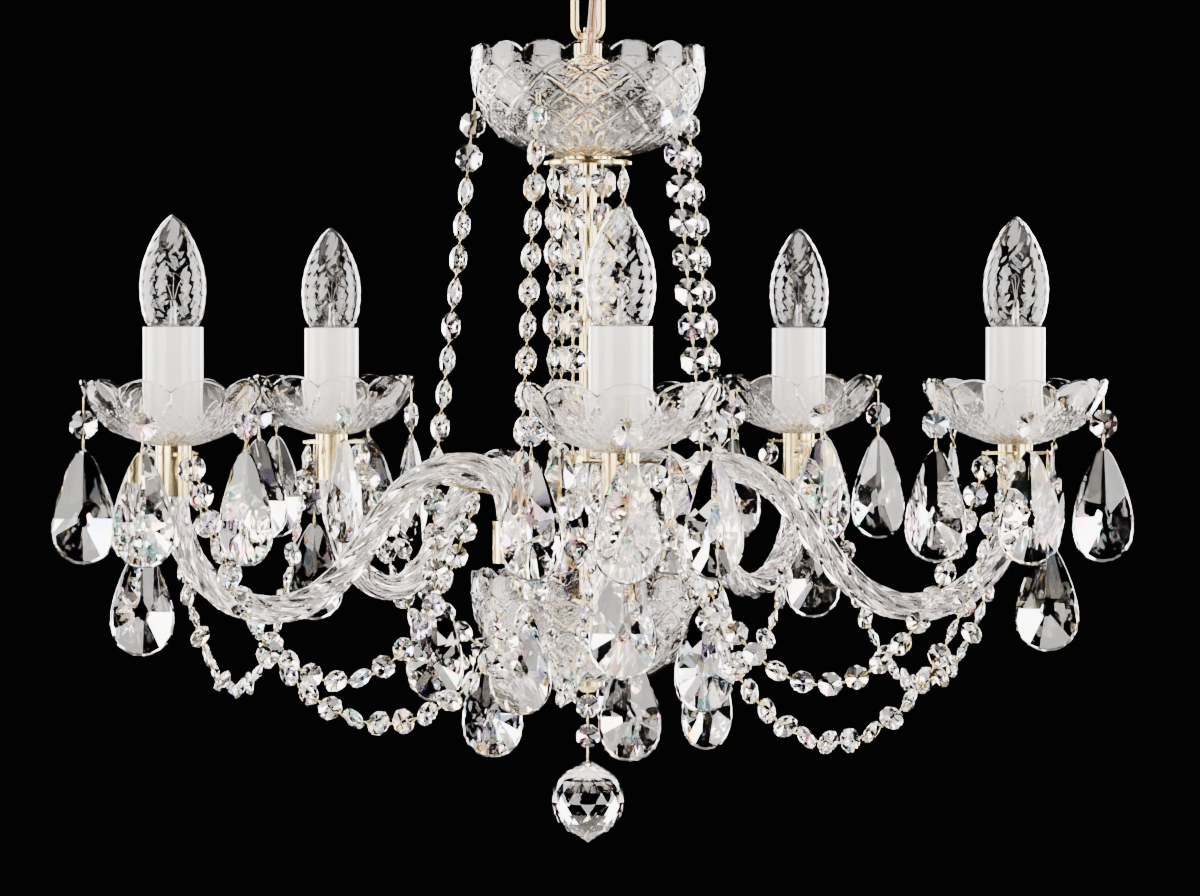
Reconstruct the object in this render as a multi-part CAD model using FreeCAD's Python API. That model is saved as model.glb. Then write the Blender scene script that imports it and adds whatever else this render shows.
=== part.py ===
import FreeCAD, Part
import math
import os

os.makedirs("parts", exist_ok=True)

Vector = FreeCAD.Vector
up = Vector(0, 0, 1)

# A crystal chandelier with five twisted glass arms, millimetres, +Z up, its front towards -Y.
# The origin is the ceiling face. Angles around the stem run from -Y towards +X. Heights of all
# that hangs on the chain are measured from the candle level, the height of the sleeves' shoulders.

# ceiling fitting
plate_radius = 44.0
plate_thickness = 3.0
plate_screw_spacing = 60.0
plate_screw_radius = 2.5
canopy_radius = 50.0
canopy_height = 42.0
canopy_wall = 1.2
canopy_bottom_radius = 26.0
canopy_nut_radius = 7.0
canopy_nut_height = 5.0
hook_shank_radius = 3.0
hook_wire_radius = 2.0
hook_eye_radius = 7.0
hook_eye_reach = 9.3

# chain link and the loop that hangs in it
link_length = 52.0
link_width = 18.0
link_wire_radius = 2.0
play = 0.3
loop_height = 159.0
arch_radius = 5.2
arch_wire_radius = 2.4
neck_radius = 7.2
cap_top = 147.0
cap_radius = 11.5
cap_height = 8.5

# stem
stem_radius = 4.5
stem_bore_radius = 3.0
stem_top = 144.0
slip_gap = 0.1
gland_radius = 3.4
gland_reach = 5.9
gland_height = 104.2

# supply flex, from the canopy to the gland on the stem
flex_radius = 2.2
flex_hole_radius = 4.5
flex_hole_x = 5.0
flex_hole_y = -11.5

# cut glass bowls: scalloped rim, upright wall, rounded bottom; a belly is how far inside the rim's
# radius and how high above the base the outer skin passes
bowl_rim_radius = 62.4
bowl_height = 59.0
bowl_wall = 4.0
bowl_scallops = 16
bowl_scallop_depth = 5.0
bowl_foot_radius = 13.5
bowl_belly = ((29.4, 3.0), (14.1, 11.6), (3.9, 28.0), (0.0, 43.0))
strand_hole_drop = 27.0
strand_hole_inset = 4.6
strand_hook_leg = 5.0
drop_hole_drop = 12.0
drop_hook_leg = 7.0
top_bowl_base = 96.0
bottom_bowl_base = -184.0

# strand disc under the top bowl
seat_radius = 12.3
seat_height = 1.5
disc_radius = 23.5
disc_thickness = 2.5

# beads on wire links
bead_width = 14.0
bead_thickness = 6.4
bead_pitch = 18.4
swag_bead_width = 12.0
swag_bead_thickness = 5.6
swag_pitch = 15.0
link_wire = 1.0
touch = 0.1

# strands from the disc to the hub, and from the top bowl to the star
column_strands = 8
column_strand_radius = 20.5
strand_angle = -25.0
strand_end_beads = 3
strand_end_drop = 3.5

# hub
arm_count = 5
first_arm_angle = 3.9
hub_top = -78.0
hub_bottom = -122.0
hub_radius = 12.0
hub_flange_radius = 24.0
hub_flange_thickness = 2.5
socket_radius = 9.7
socket_height = 22.0
socket_floor = 3.0
spoke_width = 6.0
spoke_height = 8.0
star_radius = 83.0
star_height = -77.0
star_root_height = -92.0
star_width = 4.0
star_thickness = 1.8
inner_swag_radius = 60.0

# twisted glass arms
arm_radius = 7.5
arm_bore_radius = 3.6
arm_ridges = 6
arm_steps = 26
arm_twist_pitch = 150.0
straight = math.inf
arm_clearance = 0.3
arm_wire_radius = 1.6
arm_root_radius = 44.0
candle_radius = 230.0
arm_root_height = -117.0
arm_end_height = -64.0
# the centreline's places: share of the way out from root to candle, and height
arm_bends = (
    (0.0, -107.0), (0.0, -98.0), (0.003, -89.5), (0.018, -81.0), (0.058, -72.5), (0.129, -67.5),
    (0.215, -69.5), (0.296, -76.5), (0.371, -90.0), (0.435, -108.0), (0.516, -127.0),
    (0.613, -139.5), (0.720, -143.0), (0.823, -138.5), (0.909, -126.5), (0.962, -112.0),
    (0.990, -97.0), (1.0, -84.0), (1.0, -74.0),
)

# arm ends
collar_radius = 9.0
collar_top = -56.0
collar_bottom = -82.0
lug_reach = 18.6
lug_width = 5.0
lug_thickness = 1.4
lug_seat = 17.0
lug_height = -61.0
inner_lug_angle = 220.0
nipple_depth = 4.0

# drip pans
pan_rim_radius = 48.2
pan_base_height = -55.7
pan_peak_height = -22.0
pan_wall = 2.6
pan_scallops = 10
pan_scallop_depth = 6.0
pan_foot_radius = 12.7
pan_belly = ((21.3, 5.2), (13.2, 9.7), (7.0, 17.7), (2.5, 26.7))
pan_hole_drop = 8.5
pan_hole_inset = 4.8
pan_hook_leg = 7.6
hook_hole = 2.4
pan_bore_radius = 5.2
pan_turns = (0.0, 0.0, 10.0, 8.0, -18.0)
drops_per_pan = 5
# which way each drop's flat side faces, by arm, as loose drops come to hang
pan_drop_facings = (
    (5.0, 30.0, -20.0, 15.0, -25.0),
    (10.0, 80.0, 70.0, -20.0, 5.0),
    (20.0, 60.0, -15.0, 10.0, 20.0),
    (30.0, -10.0, 55.0, 60.0, 0.0),
    (0.0, -10.0, -30.0, 70.0, 30.0),
)
arm_drop_facings = (0.0, -12.0, 10.0, -8.0, 14.0)
strand_pear_facings = (-12.0, 20.0, 60.0, -30.0, -20.0)
bowl_drop_facings = (8.0, 35.0, -40.0, 30.0, -15.0)

# candles
sleeve_radius = 15.5
sleeve_bore_radius = 14.0
sleeve_top = 5.0
sleeve_bottom = -51.5
holder_radius = 11.5
holder_foot_inset = 0.3
holder_top = 0.0
holder_nipple_radius = 4.9
lamp_cap_radius = 6.9
lamp_cap_length = 25.0
lamp_cap_gap = 0.35
lamp_neck_height = 2.0
lamp_tip = 63.0
lamp_sides = 8
lamp_twist = 22.0
# radius and height of the lamp's glass, above its neck
lamp_profile = ((13.6, 5.5), (16.2, 16.0), (17.5, 27.0), (15.6, 39.0), (10.4, 51.0), (5.0, 58.5))

# pear drops
pear_width = 33.0
pear_thickness = 13.0
pear_shoulder = 0.54
pear_swell = 0.845
pear_star = 0.61
pan_pear_top = -57.5
pan_pear_length = 59.5
arm_pear_top = -107.0
arm_pear_length = 57.0
strand_pear_length = 59.0
hook_wire = 0.9
hook_gap = 1.4
hook_tip = 2.2

# lower bowl pears, bottom nut and ball
bowl_drop_angle = 20.0
bottom_nut_radius = 9.0
bottom_nut_height = 6.0
ball_radius = 19.5
ball_drop = 39.0
ball_point = 3.0
ball_first_drop = 1.7

# lowest points of the bead swags, by arm
outer_swag_lows = (-203.0, -192.0, -198.0, -192.0, -192.0)
inner_swag_low = -182.0

arm_angles = [first_arm_angle + 360.0 / arm_count * number for number in range(arm_count)]
star_angles = [strand_angle + 360.0 / arm_count * number for number in range(arm_count)]
bowl_drop_angles = [bowl_drop_angle + 360.0 / arm_count * number for number in range(arm_count)]

# where the chain hangs
eye_z = -(canopy_height + hook_eye_reach)
hook_pivot_z = eye_z - hook_eye_radius
link_top_z = hook_pivot_z + hook_wire_radius + play + link_wire_radius
link_bottom_z = link_top_z - (link_length - 2 * link_wire_radius)
candle_level = link_bottom_z - loop_height


def level(height):
    return candle_level + height


def placed(radius, height, angle=0.0):
    turn = math.radians(angle)
    return Vector(radius * math.sin(turn), -radius * math.cos(turn), level(height))


def turned(shape, angle, centre=Vector(0, 0, 0)):
    copy = shape.copy()
    copy.rotate(centre, up, angle)
    return copy


def moved(shape, offset):
    copy = shape.copy()
    copy.translate(offset)
    return copy


def facing(solids, y, twist):
    # what hangs on a wire, twisted about that wire
    return [turned(solid, twist, Vector(0, y, 0)) for solid in solids]


def save(name, shapes):
    solids = []
    for shape in shapes:
        solids += shape.Solids
    Part.makeCompound(solids).exportStep("parts/" + name + ".step")


def ring_face(outline, plane_y=0.0):
    # outline is (radius, z) pairs of a closed section in the XZ plane
    points = [Vector(radius, plane_y, z) for radius, z in outline]
    return Part.Face(Part.makePolygon(points + points[:1]))


def spun(outline):
    return ring_face(outline).revolve(Vector(0, 0, 0), up, 360)


def column(radius, bottom, top, centre=Vector(0, 0, 0)):
    base = Vector(centre.x, centre.y, bottom)
    return Part.makeCylinder(radius, top - bottom, base, up)


def faceted(rings, low_tip=None, high_tip=None, bore_rings=None):
    # a closed solid of flat triangles through rings of points, with points or flat polygons at its
    # ends; bore_rings are the rings of a hole that runs through it
    faces = []

    def triangle(a, b, c):
        faces.append(Part.Face(Part.makePolygon([a, b, c, a])))

    def skin(skin_rings):
        for lower, upper in zip(skin_rings[:-1], skin_rings[1:]):
            count = len(lower)
            for number in range(count):
                after = (number + 1) % count
                triangle(lower[number], lower[after], upper[after])
                triangle(lower[number], upper[after], upper[number])

    skin(rings)
    skin(bore_rings or [])
    for end, tip in ((0, low_tip), (-1, high_tip)):
        ring = rings[end]
        if tip is not None:
            for number in range(len(ring)):
                triangle(ring[number], ring[(number + 1) % len(ring)], tip)
            continue
        wires = [Part.makePolygon(ring + ring[:1])]
        if bore_rings:
            bore = bore_rings[end]
            wires.append(Part.makePolygon(bore + bore[:1]))
        faces.append(Part.Face(wires, "Part::FaceMakerBullseye"))
    shell = Part.makeShell(faces)
    shell.sewShape()
    solid = Part.makeSolid(shell.Shells[0])
    solid.fix(1e-6, 1e-6, 1e-6)
    if solid.Volume < 0:
        solid.reverse()
    return solid


# ---- beads, links and drops, modelled hanging from (0, 0, 0) with their flat sides towards -Y ----


def bead(width, thickness):
    # an octagonal cut bead: two shallow pyramids on one octagon, centred on the origin
    circle = width / 2 / math.cos(math.pi / 8)
    girdle = []
    for number in range(8):
        angle = math.pi / 8 * (2 * number + 1)
        girdle.append(Vector(circle * math.cos(angle), 0, circle * math.sin(angle)))
    half = thickness / 2
    return faceted([girdle], Vector(0, half, 0), Vector(0, -half, 0))


def wire_between(start, end, across=link_wire):
    # a short straight link of three-sided wire
    along = end - start
    length = along.Length
    corners = []
    for number in range(3):
        angle = 2 * math.pi / 3 * number
        corners.append(Vector(across / 2 * math.cos(angle), across / 2 * math.sin(angle), 0))
    pin = Part.Face(Part.makePolygon(corners + corners[:1])).extrude(Vector(0, 0, length))
    pin.Placement = FreeCAD.Placement(start, FreeCAD.Rotation(up, along))
    return pin


def pear(length):
    # a flat pear drop: an outline drawn by a formula, with star facets that meet below its middle
    sides = 14
    outline = []
    for number in range(sides):
        turn = 2 * math.pi * number / sides
        fall = (1 - math.cos(turn)) / 2
        half = pear_width / 2 * math.sin(turn) * (pear_shoulder + pear_swell * fall ** 1.2)
        outline.append(Vector(half, 0, -length * fall))
    middle = -pear_star * length
    half_thickness = pear_thickness / 2
    return faceted([outline], Vector(0, half_thickness, middle), Vector(0, -half_thickness, middle))


def rim_hook(wall, leg):
    # a bent wire: its bar through the hole in a wall, a short tip up inside, a long leg down outside;
    # the bar is centred on the origin and the leg hangs on the -Y side
    half = hook_wire / 2
    outside = -(wall / 2 + hook_gap)
    inside = wall / 2 + hook_gap
    outline = [
        (outside - half, half), (outside - half, -leg), (outside + half, -leg),
        (outside + half, -half), (inside + half, -half), (inside + half, hook_tip),
        (inside - half, hook_tip), (inside - half, half),
    ]
    points = [Vector(-half, y, z) for y, z in outline]
    face = Part.Face(Part.makePolygon(points + points[:1]))
    return face.extrude(Vector(hook_wire, 0, 0))


def hanging(start_z, tops_and_pieces, y=0.0):
    # pieces hung one under the other with a wire link in each space; returns the solids
    solids = []
    reach = start_z
    for top, piece, height in tops_and_pieces:
        if reach - top > 2 * touch:
            solids.append(wire_between(Vector(0, y, reach - touch), Vector(0, y, top + touch)))
        solids.append(moved(piece, Vector(0, y, 0)))
        reach = top - height
    return solids


def bead_at(centre_z, width=bead_width, thickness=bead_thickness):
    return (centre_z + width / 2, moved(bead(width, thickness), Vector(0, 0, centre_z)), width)


def pear_at(top, length):
    return (top, moved(pear(length), Vector(0, 0, top)), length)


def strung(points, normals, width, thickness):
    # beads at the given points, each turned so that its hole runs along the line; returns them
    beads = []
    blank = bead(width, thickness)
    for (point, along), normal in zip(points, normals):
        side = along.cross(normal).normalize()
        face = side.cross(along).normalize()
        matrix = FreeCAD.Matrix(
            side.x, face.x, along.x, point.x,
            side.y, face.y, along.y, point.y,
            side.z, face.z, along.z, point.z,
            0, 0, 0, 1,
        )
        copy = blank.copy()
        copy.Placement = FreeCAD.Placement(matrix)
        beads.append(copy)
    return beads


def linked(points, width, first=None, last=None):
    # wire links between neighbouring beads, and from the end beads to where the line is hung
    links = []
    half = width / 2 + touch
    for (low, low_along), (high, high_along) in zip(points[:-1], points[1:]):
        links.append(wire_between(low + low_along * half, high - high_along * half))
    if first is not None:
        point, along = points[0]
        links.append(wire_between(first, point - along * half))
    if last is not None:
        point, along = points[-1]
        links.append(wire_between(point + along * half, last))
    return links


# ---- ceiling fitting ----


def make_ceiling_plate():
    plate = column(plate_radius, -plate_thickness, 0)
    for side in (-1, 1):
        centre = Vector(side * plate_screw_spacing / 2, 0, 0)
        plate = plate.cut(column(plate_screw_radius, -plate_thickness - 1, 1, centre))
    return plate.cut(column(hook_shank_radius + slip_gap, -plate_thickness - 1, 1))


def make_hook():
    # a screwed shank with a nut under the plate and one under the canopy, and a closed eye
    shank = column(hook_shank_radius, eye_z + hook_eye_radius, -0.5)
    nut = column(canopy_nut_radius, -plate_thickness - canopy_nut_height, -plate_thickness)
    eye = Part.makeTorus(hook_eye_radius, hook_wire_radius, Vector(0, 0, eye_z), Vector(1, 0, 0))
    return shank.fuse([nut, eye])


def make_canopy():
    # a spun cup, open at the ceiling, with holes for the hook and the flex in its bottom
    top = -slip_gap
    shoulder = -canopy_height * 0.45
    bottom = -canopy_height
    wall = canopy_wall
    outer = [
        (0, top), (canopy_radius, top), (canopy_radius, shoulder), (canopy_bottom_radius, bottom),
        (0, bottom),
    ]
    inner = [
        (0, top + 1), (canopy_radius - wall, top + 1), (canopy_radius - wall, shoulder + wall / 2),
        (canopy_bottom_radius - wall / 2, bottom + wall), (0, bottom + wall),
    ]
    cup = spun(outer).cut(spun(inner))
    cup = cup.cut(column(hook_shank_radius + slip_gap, bottom - 1, bottom + wall + 1))
    flex_centre = Vector(flex_hole_x, flex_hole_y, 0)
    return cup.cut(column(flex_hole_radius, bottom - 1, bottom + wall + 1, flex_centre))


def make_link():
    # a long flat link: two straight sides and two half rings, seen face-on from the front
    ring = link_width / 2 - link_wire_radius
    high = link_top_z - ring
    low = link_bottom_z + ring
    path = Part.Wire([
        Part.LineSegment(Vector(ring, 0, low), Vector(ring, 0, high)).toShape(),
        Part.Arc(Vector(ring, 0, high), Vector(0, 0, high + ring), Vector(-ring, 0, high)).toShape(),
        Part.LineSegment(Vector(-ring, 0, high), Vector(-ring, 0, low)).toShape(),
        Part.Arc(Vector(-ring, 0, low), Vector(0, 0, low - ring), Vector(ring, 0, low)).toShape(),
    ])
    section = Part.Wire([Part.makeCircle(link_wire_radius, Vector(ring, 0, low), up)])
    return path.makePipeShell([section], True, False)


flex_route = [
    Vector(5.0, -11.6, -32.0),
    Vector(4.8, -11.4, -62.0),
    Vector(2.2, -12.4, -92.0),
    Vector(0.4, -14.6, -119.0),
    Vector(0.0, -15.6, -139.0),
    Vector(0.0, -14.6, -150.0),
    Vector(0.0, -11.2, -155.4),
    Vector(0.0, -gland_reach, level(gland_height)),
]


def flex_path(points):
    # straight runs joined by tangent arcs, each as large as its two runs allow
    edges = []
    reach = points[0]
    for before, corner, after in zip(points[:-2], points[1:-1], points[2:]):
        into = (corner - before).normalize()
        out = (after - corner).normalize()
        turn = into.getAngle(out)
        shorter = min((corner - before).Length, (after - corner).Length)
        inset = 0.45 * shorter
        radius = inset / math.tan(turn / 2)
        print("flex arc radius", round(radius, 1), "turn", round(math.degrees(turn), 1))
        start = corner - into * inset
        end = corner + out * inset
        bisector = (out - into).normalize()
        depth = radius / math.cos(turn / 2) - radius
        edges.append(Part.LineSegment(reach, start).toShape())
        edges.append(Part.Arc(start, corner + bisector * depth, end).toShape())
        reach = end
    edges.append(Part.LineSegment(reach, points[-1]).toShape())
    return Part.Wire(edges)


def make_flex():
    path = flex_path(flex_route)
    first = (flex_route[1] - flex_route[0]).normalize()
    section = Part.Wire([Part.makeCircle(flex_radius, flex_route[0], first)])
    tube = path.makePipeShell([section], True, False)
    print("flex length", round(path.Length, 1), "volume", round(tube.Volume, 1),
          "expected", round(math.pi * flex_radius ** 2 * path.Length, 1))
    return tube


# ---- stem, loop and bowls ----


def make_loop():
    # a cast loop: a wire arch on a round neck, screwed into the cap
    arch_inside = arch_radius - arch_wire_radius
    centre = Vector(0, 0, link_bottom_z + link_wire_radius + play - arch_inside)
    neck_top = centre.z - arch_radius + arch_wire_radius + play
    ring = Part.makeTorus(arch_radius, arch_wire_radius, centre, Vector(1, 0, 0))
    half = arch_radius + arch_wire_radius + 1
    keep = Part.makeBox(4 * half, 4 * half, half, Vector(-2 * half, -2 * half, centre.z))
    loop = ring.common(keep)
    for side in (-1, 1):
        foot = Vector(0, side * arch_radius, 0)
        loop = loop.fuse(column(arch_wire_radius, neck_top - 0.5, centre.z, foot))
    return loop.fuse(column(neck_radius, level(cap_top), neck_top))


def make_cap():
    top = level(cap_top)
    bottom = level(cap_top - cap_height)
    bore = stem_radius + slip_gap
    roof = level(stem_top) + slip_gap
    waist = bottom + cap_height * 0.45
    return spun([
        (0, top), (neck_radius + 1.2, top), (cap_radius, waist), (cap_radius, bottom),
        (bore, bottom), (bore, roof), (0, roof),
    ])


def make_stem():
    bottom = level(bottom_bowl_base - bottom_nut_height * 0.6)
    tube = column(stem_radius, bottom, level(stem_top))
    forward = Vector(0, -1, 0)
    gland_base = Vector(0, -stem_radius * 0.5, level(gland_height))
    gland = Part.makeCylinder(gland_radius, gland_reach - stem_radius * 0.5, gland_base, forward)
    entry_base = Vector(0, 0, level(gland_height))
    entry = Part.makeCylinder(stem_bore_radius * 0.8, gland_reach, entry_base, forward)
    bore = column(stem_bore_radius, bottom - 1, level(stem_top) + 1)
    return tube.fuse(gland).cut([bore, entry])


def dish(rim_radius, peak, base, foot_radius, belly, wall, bore):
    # an upright dish with a bored foot, its wall the same thickness from base to rim
    outer = [(foot_radius, base)]
    outer += [(rim_radius - inset, base + rise) for inset, rise in belly]
    outer.append((rim_radius, peak))
    inner = []
    for number, (radius, height) in enumerate(outer):
        before = outer[max(number - 1, 0)]
        after = outer[min(number + 1, len(outer) - 1)]
        run = after[0] - before[0]
        rise = after[1] - before[1]
        length = math.hypot(run, rise)
        inner.append((radius - wall * rise / length, height + wall * run / length))
    inner[0] = (inner[0][0], base + wall)
    inner[-1] = (rim_radius - wall, peak)
    return spun([(bore, base)] + outer + inner[::-1] + [(bore, base + wall)])


def scalloped(bowl, rim_radius, peak, depth, count, wall):
    # the rim keeps only what lies under a ring of lobes, each a wide low arc
    half_chord = rim_radius * math.sin(math.pi / count)
    lobe_radius = (half_chord ** 2 + depth ** 2) / (2 * depth)
    reach = rim_radius + 2 * wall
    inside = column(rim_radius - 3 * wall, peak - 2 * depth, peak + 2 * depth)
    band = column(reach, peak - depth, peak + depth).cut(inside)
    centre = Vector(0, 0, peak - lobe_radius)
    lobes = []
    for number in range(count):
        lobe = Part.makeCylinder(lobe_radius, reach + wall, centre, Vector(0, -1, 0))
        lobes.append(turned(lobe, 360.0 / count * number))
    return bowl.cut(band.cut(lobes))


def make_bowl(base):
    base_z = level(base)
    rim_z = base_z + bowl_height
    bore = stem_radius + slip_gap
    bowl = dish(bowl_rim_radius, rim_z, base_z, bowl_foot_radius, bowl_belly, bowl_wall, bore)
    return scalloped(bowl, bowl_rim_radius, rim_z, bowl_scallop_depth, bowl_scallops, bowl_wall)


def drilled(bowl, radius, height, angles):
    # small square holes for hooks through a wall, each at its own angle about the stem's axis
    cutters = []
    depth = 2 * hook_gap + 4 * hook_hole
    for angle in angles:
        corner = Vector(-hook_hole / 2, -radius - depth / 2, level(height) - hook_hole / 2)
        cutters.append(turned(Part.makeBox(hook_hole, depth, hook_hole, corner), angle))
    return bowl.cut(cutters)


strand_hole_height = top_bowl_base + bowl_height - strand_hole_drop
strand_hole_radius = bowl_rim_radius - strand_hole_inset
drop_hole_height = bottom_bowl_base + bowl_height - drop_hole_drop
drop_hole_radius = bowl_rim_radius - bowl_wall / 2


def make_disc():
    seat_top = level(top_bowl_base) - touch
    plate_top = seat_top - seat_height
    bore = stem_radius + slip_gap
    return spun([
        (bore, seat_top), (seat_radius, seat_top), (seat_radius, plate_top),
        (disc_radius - 2, plate_top), (disc_radius, plate_top - 1),
        (disc_radius, plate_top - disc_thickness), (bore, plate_top - disc_thickness),
    ])


disc_underside = top_bowl_base - touch - seat_height - disc_thickness


# ---- hub and arms ----


def star_strip(angle):
    # a flat brass strip from the hub up to the eye that holds a strand
    root = Vector(0, -hub_radius * 0.8, level(star_root_height))
    tip = Vector(0, -star_radius - star_width / 2, level(star_height))
    along = tip - root
    corner = Vector(-star_width / 2, -star_thickness / 2, 0)
    strip = Part.makeBox(star_width, star_thickness, along.Length, corner)
    lean = math.degrees(math.atan2(-along.y, along.z))
    strip.Placement = FreeCAD.Placement(root, FreeCAD.Rotation(Vector(1, 0, 0), lean))
    return turned(strip, angle)


def make_hub():
    top = level(hub_top)
    bottom = level(hub_bottom)
    socket_base = level(arm_root_height) - socket_floor
    root = Vector(0, -arm_root_radius, 0)
    socket = column(socket_radius, socket_base, socket_base + socket_height, root)
    seat = level(arm_root_height) - arm_clearance
    socket_bore = column(arm_radius + arm_clearance, seat, level(0), root)
    corner = Vector(-spoke_width / 2, -arm_root_radius, socket_base)
    spoke = Part.makeBox(spoke_width, arm_root_radius, spoke_height, corner)
    pieces = [column(hub_flange_radius, top - hub_flange_thickness, top)]
    bores = [column(stem_radius + slip_gap, bottom - 1, top + 1)]
    for angle in arm_angles:
        pieces += [turned(socket, angle), turned(spoke, angle)]
        bores.append(turned(socket_bore, angle))
    for angle in star_angles:
        pieces.append(star_strip(angle))
    return column(hub_radius, bottom, top).fuse(pieces).cut(bores)


def arm_curve():
    # up out of the hub, over a swan neck, down under and up into the collar
    places = [(0.0, arm_root_height)] + list(arm_bends) + [(1.0, arm_end_height)]
    reach = candle_radius - arm_root_radius
    points = [Vector(0, -arm_root_radius - reach * share, level(height)) for share, height in places]
    curve = Part.BSplineCurve()
    curve.interpolate(points)
    return curve


def arm_rings(radius, sides, twist_pitch):
    # rings of points along the centreline, each turned a little more than the last
    curve = arm_curve()
    edge = curve.toShape()
    stations = edge.discretize(Number=arm_steps)
    rings = []
    for point in stations:
        parameter = curve.parameter(point)
        tangent = curve.tangent(parameter)[0]
        side = Vector(1, 0, 0)
        normal = tangent.cross(side).normalize()
        travelled = edge.Length * len(rings) / (arm_steps - 1)
        twist = 2 * math.pi * travelled / twist_pitch
        ring = []
        for number in range(sides):
            angle = 2 * math.pi * number / sides + twist
            across = side * (radius * math.cos(angle))
            ring.append(point + across + normal * (radius * math.sin(angle)))
        rings.append(ring)
    return rings


def make_arm():
    outside = arm_rings(arm_radius, arm_ridges, arm_twist_pitch)
    return faceted(outside, bore_rings=arm_rings(arm_bore_radius, 4, straight))


def make_arm_wire():
    return faceted(arm_rings(arm_wire_radius, 3, straight))


# ---- arm ends, modelled on the stem's axis and then moved out ----


def lug(angle):
    corner = Vector(-lug_width / 2, -lug_reach, level(lug_height))
    tab = Part.makeBox(lug_width, lug_reach - collar_radius + 1, lug_thickness, corner)
    return turned(tab, angle)


def make_collar():
    bore = arm_radius + arm_clearance
    bottom = level(collar_bottom)
    top = level(collar_top)
    floor = level(arm_end_height) + arm_clearance
    thread = holder_nipple_radius + slip_gap
    thread_end = top - nipple_depth
    body = spun([
        (bore, bottom), (collar_radius, bottom), (collar_radius, top), (thread, top),
        (thread, thread_end), (arm_bore_radius, thread_end), (arm_bore_radius, floor), (bore, floor),
    ])
    return body.fuse([lug(0), lug(90), lug(270), lug(inner_lug_angle)])


def make_pan(turn):
    base_z = level(pan_base_height)
    peak = level(pan_peak_height)
    pan = dish(pan_rim_radius, peak, base_z, pan_foot_radius, pan_belly, pan_wall, pan_bore_radius)
    pan = scalloped(pan, pan_rim_radius, peak, pan_scallop_depth, pan_scallops, pan_wall)
    return turned(drilled(pan, pan_hole_radius, pan_hole_height, pan_hole_angles), turn)


pan_hole_height = pan_peak_height - pan_hole_drop
pan_hole_radius = pan_rim_radius - pan_hole_inset
pan_hole_angles = [360.0 / drops_per_pan * number for number in range(drops_per_pan)]


def make_sleeve():
    return spun([
        (sleeve_bore_radius, level(sleeve_bottom)), (sleeve_radius, level(sleeve_bottom)),
        (sleeve_radius, level(sleeve_top)), (sleeve_bore_radius, level(sleeve_top)),
    ])


def make_holder():
    # a threaded nipple, a foot that centres the sleeve, and a socket for the lamp's cap
    nipple_bottom = level(collar_top) - nipple_depth + slip_gap
    foot = level(pan_base_height) + pan_wall + slip_gap
    foot_radius = sleeve_bore_radius - holder_foot_inset
    top = level(holder_top)
    cap_bottom = top + lamp_neck_height - lamp_cap_length
    socket_bottom = cap_bottom - lamp_cap_gap
    bore = lamp_cap_radius + lamp_cap_gap
    return spun([
        (0, nipple_bottom), (holder_nipple_radius, nipple_bottom), (holder_nipple_radius, foot),
        (holder_radius, foot), (foot_radius, foot + 2), (foot_radius, foot + 5),
        (holder_radius, foot + 8), (holder_radius, top), (bore, top), (bore, socket_bottom),
        (0, socket_bottom),
    ])


def make_lamp():
    # a twisted candle lamp: a metal cap, and a glass whose ridges wind up to its tip
    neck = holder_top + lamp_neck_height
    cap = column(lamp_cap_radius, level(neck - lamp_cap_length), level(neck))
    profile = [(lamp_cap_radius + 0.7, neck)] + list(lamp_profile)
    rings = []
    for number, (radius, height) in enumerate(profile):
        ring = []
        for side in range(lamp_sides):
            angle = math.radians(360.0 / lamp_sides * side + lamp_twist * number)
            ring.append(Vector(radius * math.cos(angle), radius * math.sin(angle), level(height)))
        rings.append(ring)
    glass = faceted(rings, None, Vector(0, 0, level(lamp_tip)))
    return [cap, glass]


# ---- hanging drops ----


def make_pan_drop(twist):
    # hook, octagon and pear, modelled with the hook's bar at the pan's hole on the -Y side
    hole_z = level(pan_hole_height)
    leg_end = hole_z - pan_hook_leg
    leg_y = -(pan_wall / 2 + hook_gap)
    first = bead_at(leg_end - touch - bead_width / 2)
    tail = pear_at(level(pan_pear_top), pan_pear_length)
    solids = [moved(rim_hook(pan_wall, pan_hook_leg), Vector(0, 0, hole_z))]
    solids += facing(hanging(leg_end, [first, tail], leg_y), leg_y, twist)
    return [moved(solid, Vector(0, -pan_hole_radius, 0)) for solid in solids]


def make_arm_drop(twist):
    seat = level(lug_height) - touch
    hook_end = level(arm_pear_top) + 2 * bead_pitch
    first = bead_at(hook_end - bead_width / 2)
    second = bead_at(hook_end - bead_pitch - bead_width / 2)
    tail = pear_at(level(arm_pear_top), arm_pear_length)
    solids = facing(hanging(seat, [first, second, tail]), 0.0, twist)
    return [moved(solid, Vector(0, -lug_seat, 0)) for solid in solids]


def make_ball():
    # a cut crystal ball with rows of facets and a small point below
    sides = 12
    rows = 7
    rings = []
    for row in range(1, rows + 1):
        polar = math.pi * row / (rows + 1)
        ring = []
        for number in range(sides):
            angle = 2 * math.pi * (number + 0.5 * (row % 2)) / sides
            ring.append(Vector(ball_radius * math.sin(polar) * math.cos(angle),
                               ball_radius * math.sin(polar) * math.sin(angle),
                               -ball_radius * math.cos(polar)))
        rings.append(ring)
    return faceted(rings, Vector(0, 0, -ball_radius - ball_point), Vector(0, 0, ball_radius))


def make_ball_drop():
    seat = level(bottom_bowl_base) - bottom_nut_height - 2 * touch
    first_z = seat - ball_first_drop - swag_bead_width / 2
    first = bead_at(first_z, swag_bead_width, swag_bead_thickness)
    second = bead_at(first_z - swag_pitch - 1, swag_bead_width, swag_bead_thickness)
    ball = moved(make_ball(), Vector(0, 0, seat - ball_drop - ball_radius))
    return hanging(seat, [first, second, (seat - ball_drop, ball, 2 * ball_radius)])


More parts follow.
